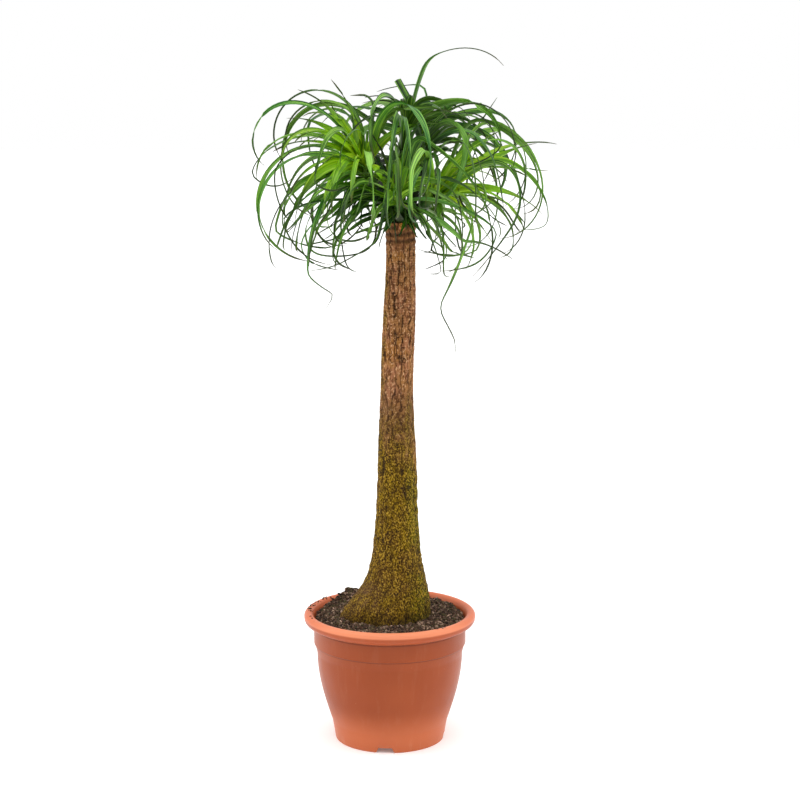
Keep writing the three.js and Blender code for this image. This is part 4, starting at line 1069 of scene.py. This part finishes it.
def insideCrown(middle):  # inside a rounded box, and not in front of the bare trunk
    far = (np.abs(middle - crown["middle"]) / np.array(crown["reach"])) ** crown["roundness"]
    x, y, z = middle.T
    before = (np.abs(x - neck["seatX"]) < crown["clearHalfWidth"]) & (y < crown["clearBack"])
    return bool(np.all(far.sum(-1) <= 1) and not np.any(before & (z < crown["clearBelow"])))


def isClear(rows, leaf, number, crowding):  # off the other shoots, and seldom through its own
    found = spaceGrid[rows]
    if np.any((found != 0) & (found != number)):
        return False
    own = np.any(found == number, axis=0)
    travelled = np.arange(len(own)) * leaf["length"] / (len(own) - 1)
    return np.count_nonzero(own & (travelled > crown["ownClear"])) <= crowding


def headingOf(shoot, share, around, spread):  # azimuth and rise of a leaf leaving the axis by spread
    axis = shootHeading(shoot, share)
    first, second = squareTo(axis)
    heading = axis * math.cos(spread)
    heading = heading + first * (math.cos(around) * math.sin(spread))
    heading = heading + second * (math.sin(around) * math.sin(spread))
    return math.degrees(math.atan2(heading[1], heading[0])), math.degrees(math.asin(heading[2]))


def valueOf(name, share):  # a drawn value's first number, and its range times a share
    return drawn[name] + drawn[name + "Range"] * share


def drawLeaf(shoot, number, index, attempt):  # one try at a leaf: young ones at the tip, old ones lower down
    draw = seededDraw(number * 100003 + index * 1009 + attempt * 17 + 11)
    draw()
    age = (index + 0.5) / shoot["leaves"]
    start = 1 - drawn["lowest"] * age
    looseness = drawn["looseness"] + min(attempt, drawn["loosenTries"]) * drawn["loosenPerTry"]
    around = math.radians(shoot["phase"] + index * drawn["turnBetween"] + (draw() - 0.5) * looseness)
    opening = drawn["spread"] + drawn["spreadWithAge"] * age ** drawn["spreadBend"]
    spread = math.radians(opening + drawn["spreadRange"] * (draw() - 0.5))
    azimuth, rise = headingOf(shoot, start, around, spread)
    grown = math.sin(math.pi * min(age * drawn["lengthAge"], 1))
    length = drawn["length"] + drawn["lengthWithAge"] * grown + drawn["lengthRange"] * (draw() - 0.5)
    length *= 1 - (drawn["shortenByTries"] * attempt) / trials["solid"]["tries"]
    length *= drawn["hangingShare"] if rise < 0 else 1
    turned = max(rise + drawn["turn"] + drawn["turnRange"] * draw(), drawn["leastTurn"])
    bend = 1 + drawn["bendRange"] * draw() * (1 - age * drawn["bendWithAge"])
    width = valueOf("width", draw())
    roll = valueOf("roll", draw() - 0.5)
    twist = drawn["twistRange"] * (draw() - 0.5)
    more = {"age": age, "shown": False, "drift": drawn["driftRange"] * (draw() - 0.5)}
    more["sway"] = valueOf("sway", draw())
    more["swayStart"] = draw()
    kinked = draw() < drawn["kinkChance"]
    kinkAt = valueOf("kinkAt", draw())
    kinkTurn = drawn["kinkTurn"] * (2 * draw() - 1)
    more["kinks"] = [(kinkAt, kinkTurn, drawn["kinkSpread"])] if kinked else []
    return leafOf(azimuth, rise, turned, bend, length, width, roll, twist, start, **more)


def placeSolidLeaves():  # the same leaves as the solids, in the same order
    placed = {name: [] for name in shoots}
    markStems()
    for number, (name, shoot) in enumerate(shoots.items(), 1):
        for leaf in shownLeaves[name]:
            path = leafPath(leaf, shoot)
            markCells(leafCells(path, leaf), number)
            placed[name].append((leaf, path))
    for index in range(max(shoot["leaves"] for shoot in shoots.values())):
        for number, (name, shoot) in enumerate(shoots.items(), 1):
            if index < shoot["leaves"]:
                tries = (drawLeaf(shoot, number, index, attempt) for attempt in itertools.count())
                tryLeaf(placed[name], shoot, number, tries, trials["solid"])
    return placed


def tryLeaf(leaves, shoot, number, tries, trial):  # keeps the first one that lies in the crown and is clear
    for attempt, leaf in zip(range(trial["tries"]), tries):
        path = leafPath(leaf, shoot)
        if not insideCrown(path[0][trial["every"] :: trial["every"]]):
            continue
        rows = leafCells(path, leaf)
        if isClear(rows, leaf, number, trial["crowding"] + trial["looser"] * attempt):
            markCells(rows, number, trial["margin"])
            leaves.append((leaf, path))
            return


def placeExtraLeaves(placed):  # the broad blades, then finer leaves clear of the other shoots' leaves
    for name, blades in broadBlades.items():
        for form in blades:
            young = form[-1] > extraTurns["youngFrom"]
            leaf = leafOf(*form, age=0.05 if young else 0.2, lime=1 if young else 0.2, shown=False)
            placed[name].append((leaf, leafPath(leaf, shoots[name])))
    for kindIndex, kind in enumerate(extraKinds.values()):
        for number, (name, shoot) in enumerate(shoots.items(), 1):
            draw = np.random.default_rng(extraTurns["seed"] + extraTurns["seedStep"] * kindIndex + number)
            for index in range(kind["count"]):
                tries = (extraLeaf(kind, shoot, index, draw) for _ in itertools.count())
                tryLeaf(placed[name], shoot, number, tries, trials["extra"])


def extraLeaf(kind, shoot, index, draw):  # each value drawn from its kind's range
    ranges = ("from", "spread", "length", "width", "turn", "bend", "twist", "drift", "sway")
    values = (draw.uniform(*kind[key]) for key in ranges)
    start, spread, length, width, turned, bend, twist, drift, sway = values
    scatter = draw.uniform(-extraTurns["scatter"], extraTurns["scatter"])
    around = math.radians(shoot["phase"] + extraTurns["phase"] + index * drawn["turnBetween"] + scatter)
    azimuth, rise = headingOf(shoot, start, around, math.radians(spread))
    kinks = []
    if draw.uniform() < kind["kinkChance"]:
        kinkAt, kinkTurn = (draw.uniform(*extraTurns[key]) for key in ("kinkAt", "kinkTurn"))
        kinks = [(kinkAt, kinkTurn, extraTurns["kinkSpread"])]
    turned = max(turned + extraTurns["turnWithRise"] * rise, extraTurns["leastTurn"])
    roll = draw.uniform(*extraTurns["roll"])
    more = {"sway": sway, "swayStart": draw.uniform(), "age": kind["age"], "shown": False}
    more.update(kinks=kinks, drift=drift)
    return leafOf(azimuth, rise, turned, bend, length, width, roll, twist, start, **more)


def finishLeaf(leaf, draw):  # where the blade turns over and where its tail begins
    turns = []
    for _ in range(finish["turns"]):
        start = draw.uniform(*finish["turnAt"])
        angle = draw.uniform(*finish["turnBy"]) * draw.choice([-1, 1])
        turns.append((start, angle, start + draw.uniform(*finish["turnOver"])))
    leaf["turns"] = [] if leaf["cut"] or leaf["tail"] else turns[: draw.integers(1, 3)]
    tailFrom = draw.uniform(*finish["tailFrom"]) + finish["tailLater"] * leaf["shown"]
    drawnTail = (tailFrom, draw.uniform(*finish["tailWidth"]))
    leaf["tailFrom"], leaf["tailWidth"] = leaf["tail"] or drawnTail
    facing = math.cos(math.radians(leaf["azimuth"] - 270)) > finish["frontRange"]
    leaf["inFront"] = facing and leaf["rise"] > 0 and not leaf["shown"]
    leaf["tailFrom"] += finish["frontTail"] * leaf["inFront"]


def bladeWidth(leaf, along):  # broad to where the tail begins, then narrow and pointed; also the tail's share
    if leaf["cut"]:
        return finish["cutWider"] * leaf["width"] + 0 * along, 0 * along
    younger = finish["youngWider"] - finish["oldWider"]
    wider = finish["oldWider"] + younger * ease(*finish["youngAge"], leaf["age"])
    full = leaf["width"] * wider * baseGrowth(along) * (1 - finish["narrowing"] * along)
    spread = finish["shownSpread"] if leaf["tail"] else finish["tailSpread"]
    narrow = ease(leaf["tailFrom"] - spread, leaf["tailFrom"] + spread * 0.5, along)
    width = full * (1 - narrow) + leaf["tailWidth"] * narrow
    return np.maximum(width * np.minimum((1 - along) / finish["endShare"], 1), leafForm["tipWidth"]), narrow


def cutLow(leaf, path, draw):  # a seeded leaf levels out as it hangs low, and ends below a drawn height
    hangsLow = draw.uniform() < finish["lowShare"]
    ends = finish["lowEnd" if hangsLow else "highEnd"]
    lowest = draw.uniform(*(finish["frontEnd"] if leaf["inFront"] else ends))
    if leaf["shown"]:
        return path
    middle, flat, keel, along = path
    below = np.flatnonzero((middle[:, 2] < lowest - finish["cutBelow"]) & (along > finish["leastKept"]))
    depth = finish["levelling"]
    under = np.maximum(lowest + depth - middle[:, 2], 0)
    middle = middle.copy()
    middle[:, 2] += under - depth * (1 - np.exp(-under / depth))
    if not len(below):
        return middle, flat, keel, along
    last = max(below[0] // leafForm["everyStep"] * leafForm["everyStep"], 2) + 1
    leaf["length"] *= along[last - 1]
    return middle[:last], flat[:last], keel[:last], along[:last] / along[last - 1]


def bladeMesh(leaf, path):  # a shallow channel of eight points across, closed at the root and at the tip
    middle, flat, keel, along = (part[:: leafForm["everyStep"]] for part in path)
    more = 0 * along
    for start, angle, end in leaf["turns"]:
        more = more + angle * ease(start, end, along)
    flat, keel = turnPair(flat, keel, radians(more)[:, None])
    width, narrow = bladeWidth(leaf, along)
    depth = width * (leafForm["channel"] * (0.4 + 0.9 * (1 - along)) + finish["tailFold"] * narrow)
    thickest, thinnest, perWidth = leafForm["thickness"]
    thick = np.minimum(thickest, thinnest + perWidth * width)
    across, hollow, under = (np.array(leafForm[key]) for key in ("across", "hollow", "under"))
    height = hollow * depth[:, None] - under * thick[:, None]
    rings = middle[:, None] + flat[:, None] * (across * width[:, None] / 2)[..., None]
    rings = rings + keel[:, None] * height[..., None]
    tip = middle[-1] + (middle[-1] - middle[-2]) * leafForm["pointed"]
    points, faces = closedSkin(rings, [middle[0], tip], flip=True)
    rows, columns = rings.shape[:2]
    values = (across * 0.5 + 0.5, under, along[:, None] * leaf["length"], along[:, None])
    ends = ([0.5, 0.5], [0, 0], [0, leaf["length"]], [0, 1])
    spread = [np.broadcast_to(value, (rows, columns)).ravel() for value in values]
    return points, faces, [np.append(part, end) for part, end in zip(spread, ends)]


def neckMesh(shoot):  # a ribbed green stalk along the shoot's curve, rounded at its top
    share = np.linspace(0, 1, neck["rows"])
    middle = shootPlace(shoot, share)
    around = placesRound(neck["columns"])
    radius = neck["baseRadius"] + (neck["tipRadius"] - neck["baseRadius"]) * share
    radius = radius + neck["swell"] * np.sin(math.pi * share)
    ribs = np.cos(neck["ribs"] * around + neck["ribTurn"] * share[:, None])
    radius = radius[:, None] + neck["ribDepth"] * ribs - 0.5
    rings = []
    for row, part in enumerate(share):
        sides = squareTo(shootHeading(shoot, part)) if row else np.eye(3)[:2]
        rings.append(middle[row] + ringAcross(*sides, neck["columns"]) * radius[row][:, None])
    axis = shootHeading(shoot, 1)
    for lift, part in neck["caps"]:
        rings.append(middle[-1] + axis * lift + (rings[neck["rows"] - 1] - middle[-1]) * part)
    return closedSkin(np.array(rings), [middle[0], middle[-1] + axis * neck["capTop"]])


def leafMaterial():  # green to lime by youth, the lime partly painted light, streaked, paler beneath, dark at the tail as painted shade, dry at the tip, with painted shade deep in the crown and a painted teal sheen on some leaves
    material, tree = newMaterial("leafBlade")
    youth, tone, dry, below = layerOf(tree, "leafLook")
    shade, hueAndSheen, tail = layerOf(tree, "leafShade")[:3]
    place = addNode(tree, "ShaderNodeUVMap", {}, uv_map="leafMap").outputs["UV"]
    parts = addNode(tree, "ShaderNodeSeparateXYZ", {"Vector": place}).outputs
    streak = addNode(tree, "ShaderNodeMapping", {"Vector": place, "Scale": (30, 1.8, 1)}).outputs["Vector"]
    own = {"X": times(tree, parts["X"], 6), "Y": parts["Y"], "Z": times(tree, hueAndSheen, 40)}
    bandPlace = addNode(tree, "ShaderNodeCombineXYZ", own).outputs["Vector"]
    mottle = noiseOf(tree, 70, 3, 0.6)
    veins = noiseOf(tree, 1, 2, 0.5, place=streak)
    bands = noiseOf(tree, 1, 2, 0.5, place=bandPlace)  # streaks along each blade, all unlike
    light = sums(tree, "ADD", times(tree, mottle, 0.3), times(tree, tone, 0.85))
    fromRib = sums(tree, "ABSOLUTE", sums(tree, "SUBTRACT", parts["X"], 0.5), 0)
    colour = layered(tree, (12, 44, 2), [
        (light, 0.14, 0.6, 1, (64, 130, 10)),
        (light, 0.56, 0.98, 1, (154, 208, 84)),
        (hueAndSheen, 0.5, 1, 0.5, (100, 146, 8)),
        # painted sheen: a teal tint on leaves whose drawn hue number is low
        (hueAndSheen, 0.35, 0, 0.6, (44, 124, 50)),
        (veins, 0.45, 0.65, 0.45, (36, 92, 14)),
        # the young leaves' own lime, partly painted light: made brighter at the hearts to stand for light
        # through the blades
        (youth, 0.04, 0.7, 0.95, (150, 212, 6)),
        (youth, 0.6, 1, 0.7, (206, 228, 16)),
        (bands, 0.51, 0.62, 0.65, mixColour(tree, youth, (10, 48, 2), (86, 148, 2))),
        (bands, 0.47, 0.36, 0.7, mixColour(tree, youth, (152, 210, 84), (236, 248, 60))),
        (fromRib, 0.06, 0, 0.3, (150, 190, 80)),
        (below, 0.25, (96, 146, 52)),
        # painted shade on the thin tails
        (tail, 1, (36, 54, 8)),
        (dry, 1, (82, 76, 34)),
        # painted shade deep inside the crown
        (shade, 1, (4, 16, 2)),
    ])
    roughness = between(tree, veins, 0.3, 0.7, 0.32, 0.48)
    setShader(tree, colour, roughness, bumpOf(tree, veins, 0.4, 0.0006), Specular_IOR_Level=0.35, IOR=1.45)
    return material


leafTone = {  # how the paint values change with age, along the blade and from leaf to leaf, and how far the painted shade spreads
    "ageFall": 3.2, "limeBend": 1.5, "limeShare": 0.35, "oldReach": 0.5, "toneSpread": 0.3,
    "frontDarker": 0.2, "oldDarker": 0.25, "tipDarker": 0.2, "dryMost": 0.9, "dryFrom": 0.82,
    "shownTail": 0.9, "tailEdge": (-0.15, 0.2), "shadeSpread": 1.4, "mapUnit": 100,
}


def neckPaint(count, lime):  # the stalk is brown at its foot and green at its top, with painted shade that is strongest at its foot
    rise = np.linspace(0, 1, count)
    none = 0 * rise
    look = np.stack([0.6 * rise ** 3 * lime, 0.3 + none, 0.75 * (1 - rise), none], -1)
    # the second set is painted shade, strongest at the stalk's foot
    return look, np.stack([0.75 - 0.45 * rise, none, none, none], -1), np.stack([0.25 + none, rise], -1)


def leafPaint(leaf, look, points, values, draw):  # lime, partly painted light, fades from the root, the tail darkens as painted shade and the end darkens, and painted shade falls deep in the crown
    side, below, travelled, share = values
    young = math.exp(-leafTone["ageFall"] * leaf["age"])
    reach = look["limeLength"] * (leafTone["oldReach"] + young)
    fade = np.exp(-((travelled / reach) ** leafTone["limeBend"]))
    least = leafTone["limeShare"]
    # partly painted light: the young leaves' own lime, made brighter to stand for light through the blades
    youth = look["lime"] * leaf["lime"] * (least + (1 - least) * young) * fade
    bright = look["tone"] + draw.normal(0, leafTone["toneSpread"])
    bright -= leafTone["frontDarker"] * leaf["inFront"] + leafTone["oldDarker"] * (leaf["lime"] < 1)
    tone = np.clip(bright - leafTone["tipDarker"] * ease(0.5, 1, share), 0, 1)
    whole = not leaf["cut"]
    dry = draw.uniform(0, leafTone["dryMost"]) * ease(leafTone["dryFrom"], 1, share) * whole
    # painted shade on the thin tail of the blade
    darkest = leafTone["shownTail"] if leaf["tail"] else draw.uniform(*finish["darkTail"])
    tail = darkest * ease(*(leaf["tailFrom"] + edge for edge in leafTone["tailEdge"]), share) * whole
    # painted shade: darker the nearer a point lies to the crown's middle, none in front and less on young
    # leaves
    inner = np.linalg.norm((points - finish["shadeMiddle"]) / finish["shadeReach"], axis=1)
    shade = bell(inner, leafTone["shadeSpread"]) * ease(*finish["shadeFront"], points[:, 1]) * (1 - youth)
    # one drawn number per leaf: high ones are yellower, low ones take the teal painted sheen
    hueAndSheen = np.full(len(points), draw.uniform())
    shadeLook = np.stack([shade, hueAndSheen, tail, 0 * tail], -1)
    leafMap = np.stack([side, travelled / leafTone["mapUnit"]], -1)
    return np.stack([youth, tone, dry, below], -1), shadeLook, leafMap


def makeHead(name, leaves, material):  # one mesh of the stalk and all the blades of a shoot
    look = shootLook[name]
    draw = np.random.default_rng(sum(map(ord, name)) + finish["seed"])
    points, faces = neckMesh(shoots[name])
    allPoints, allFaces, paints = [points], list(faces), [neckPaint(len(points), look["lime"])]
    count = len(points)
    for leaf, path in leaves:
        finishLeaf(leaf, draw)
        points, faces, values = bladeMesh(leaf, cutLow(leaf, path, draw))
        allPoints.append(points)
        allFaces += [part + count for part in faces]
        count += len(points)
        paints.append(leafPaint(leaf, look, points, values, draw))
    sharpFrom = finish["sharpFrom"]
    piece = makeObject(f"leaves_{name}", np.vstack(allPoints), allFaces, material, sharpAngle=sharpFrom)
    looks, shades, maps = (np.vstack(group) for group in zip(*paints))
    paintPoints(piece, "leafLook", looks)
    paintPoints(piece, "leafShade", shades)
    addMap(piece, "leafMap", maps)
    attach(piece, "root")
    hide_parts(f"head_{name}")


def addMap(piece, name, places):  # each face corner takes its point's place on the leaf
    corners = np.zeros(len(piece.data.loops), np.int32)
    piece.data.loops.foreach_get("vertex_index", corners)
    layer = piece.data.uv_layers.new(name=name)
    layer.data.foreach_set("uv", np.asarray(places, np.float32)[corners].ravel())


placedLeaves = placeSolidLeaves()
print("leaves of the solids placed:", {name: len(leaves) for name, leaves in placedLeaves.items()})
placeExtraLeaves(placedLeaves)
print("with the extra leaves:", {name: len(leaves) for name, leaves in placedLeaves.items()})
bladeMaterial = leafMaterial()
for headName, headLeaves in placedLeaves.items():
    makeHead(headName, headLeaves, bladeMaterial)
print("shoots made")


# Floor, light and camera

studio = {
    "floorReach": 40, "lens": 82.125, "sensor": 36, "cameraAt": (0.0185, -3.2, 1.145),
    "lookAt": (0.0185, 0, 0.6205), "frontGlow": 0.15, "sideGlow": 0.9, "topGlow": 1.7,
    "brightest": (0, -0.35, 0.94), "floorGlow": 0.13, "floorColumns": 9, "frontToSide": (-0.85, 0.2),
    "topFrom": 0.55,
}
softLights = {  # where each panel stands, where it points, its width and height in metres, and its power
    "leftPanel": {"at": (-2.2, -0.1, 1.5), "to": (0, 0, 0.6), "size": (0.9, 2.2), "power": 15},
    "rightPanel": {"at": (2.2, -0.1, 1.4), "to": (0, 0, 0.6), "size": (0.9, 2.2), "power": 12.5},
}


def aimAt(thing, place, target):  # stands at a place and looks at a target
    thing.location = place
    thing.rotation_euler = (Vector(target) - Vector(place)).to_track_quat("-Z", "Y").to_euler()


def makeFloor():  # a wide white floor with a faint glow, so that it shows white
    material, tree = newMaterial("paleFloor")
    wash = noiseOf(tree, 1.5, 2, 0.5)
    colour = mixColour(tree, wash, (254, 254, 254), (251, 251, 251))
    roughness = between(tree, wash, 0, 1, 0.8, 0.9)
    glow = {"Emission_Color": (1, 1, 1, 1), "Emission_Strength": studio["floorGlow"]}
    setShader(tree, colour, roughness, bumpOf(tree, wash, 0.02, 0.001), Specular_IOR_Level=0.1, **glow)
    columns = studio["floorColumns"]
    side = np.linspace(-1, 1, columns) * studio["floorReach"] / mm
    x, y = np.meshgrid(side, side)
    points = np.stack([x, y, 0 * x], -1).reshape(-1, 3)
    floor = makeObject("floor", points, [gridFaces(columns, columns, False)], material)
    floor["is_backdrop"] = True


def makeLights():
    for name, panel in softLights.items():
        lamp = bpy.data.lights.new(name, "AREA")
        lamp.shape = "RECTANGLE"
        lamp.size, lamp.size_y = panel["size"]
        lamp.energy = panel["power"]
        holder = bpy.data.objects.new(name, lamp)
        bpy.context.scene.collection.objects.link(holder)
        aimAt(holder, panel["at"], panel["to"])
    makeWorld()
    bpy.context.scene.view_settings.view_transform = "Standard"


def makeWorld():  # dim in front, brighter at the sides and behind, white where it is seen
    world = bpy.data.worlds.new("studioWorld")
    world.use_nodes = True
    tree = world.node_tree
    heading = addNode(tree, "ShaderNodeTexCoord", {}).outputs["Generated"]
    ahead = addNode(tree, "ShaderNodeSeparateXYZ", {"Vector": heading}).outputs["Y"]
    glow = between(tree, ahead, *studio["frontToSide"], studio["frontGlow"], studio["sideGlow"])
    inputs = {0: heading, 1: studio["brightest"]}
    nearTop = addNode(tree, "ShaderNodeVectorMath", inputs, operation="DOT_PRODUCT").outputs["Value"]
    glow = sums(tree, "ADD", glow, between(tree, nearTop, studio["topFrom"], 1, 0, studio["topGlow"]))
    seen = addNode(tree, "ShaderNodeLightPath", {}).outputs["Is Camera Ray"]
    strength = between(tree, seen, 0, 1, glow, 1)
    tree.links.new(strength, tree.nodes["Background"].inputs["Strength"])
    tree.nodes["Background"].inputs["Color"].default_value = (1, 1, 1, 1)
    bpy.context.scene.world = world


def makeCamera():
    lens = bpy.data.cameras.new("camera")
    lens.lens = studio["lens"]
    lens.sensor_width = studio["sensor"]
    camera = bpy.data.objects.new("camera", lens)
    bpy.context.scene.collection.objects.link(camera)
    aimAt(camera, studio["cameraAt"], studio["lookAt"])
    bpy.context.scene.camera = camera


makeFloor()
makeLights()
makeCamera()
print("studio made")

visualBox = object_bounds()
boxes = {"cad": cadBox, "visual": visualBox}
{name: [list(corner) for corner in box] for name, box in boxes.items()}
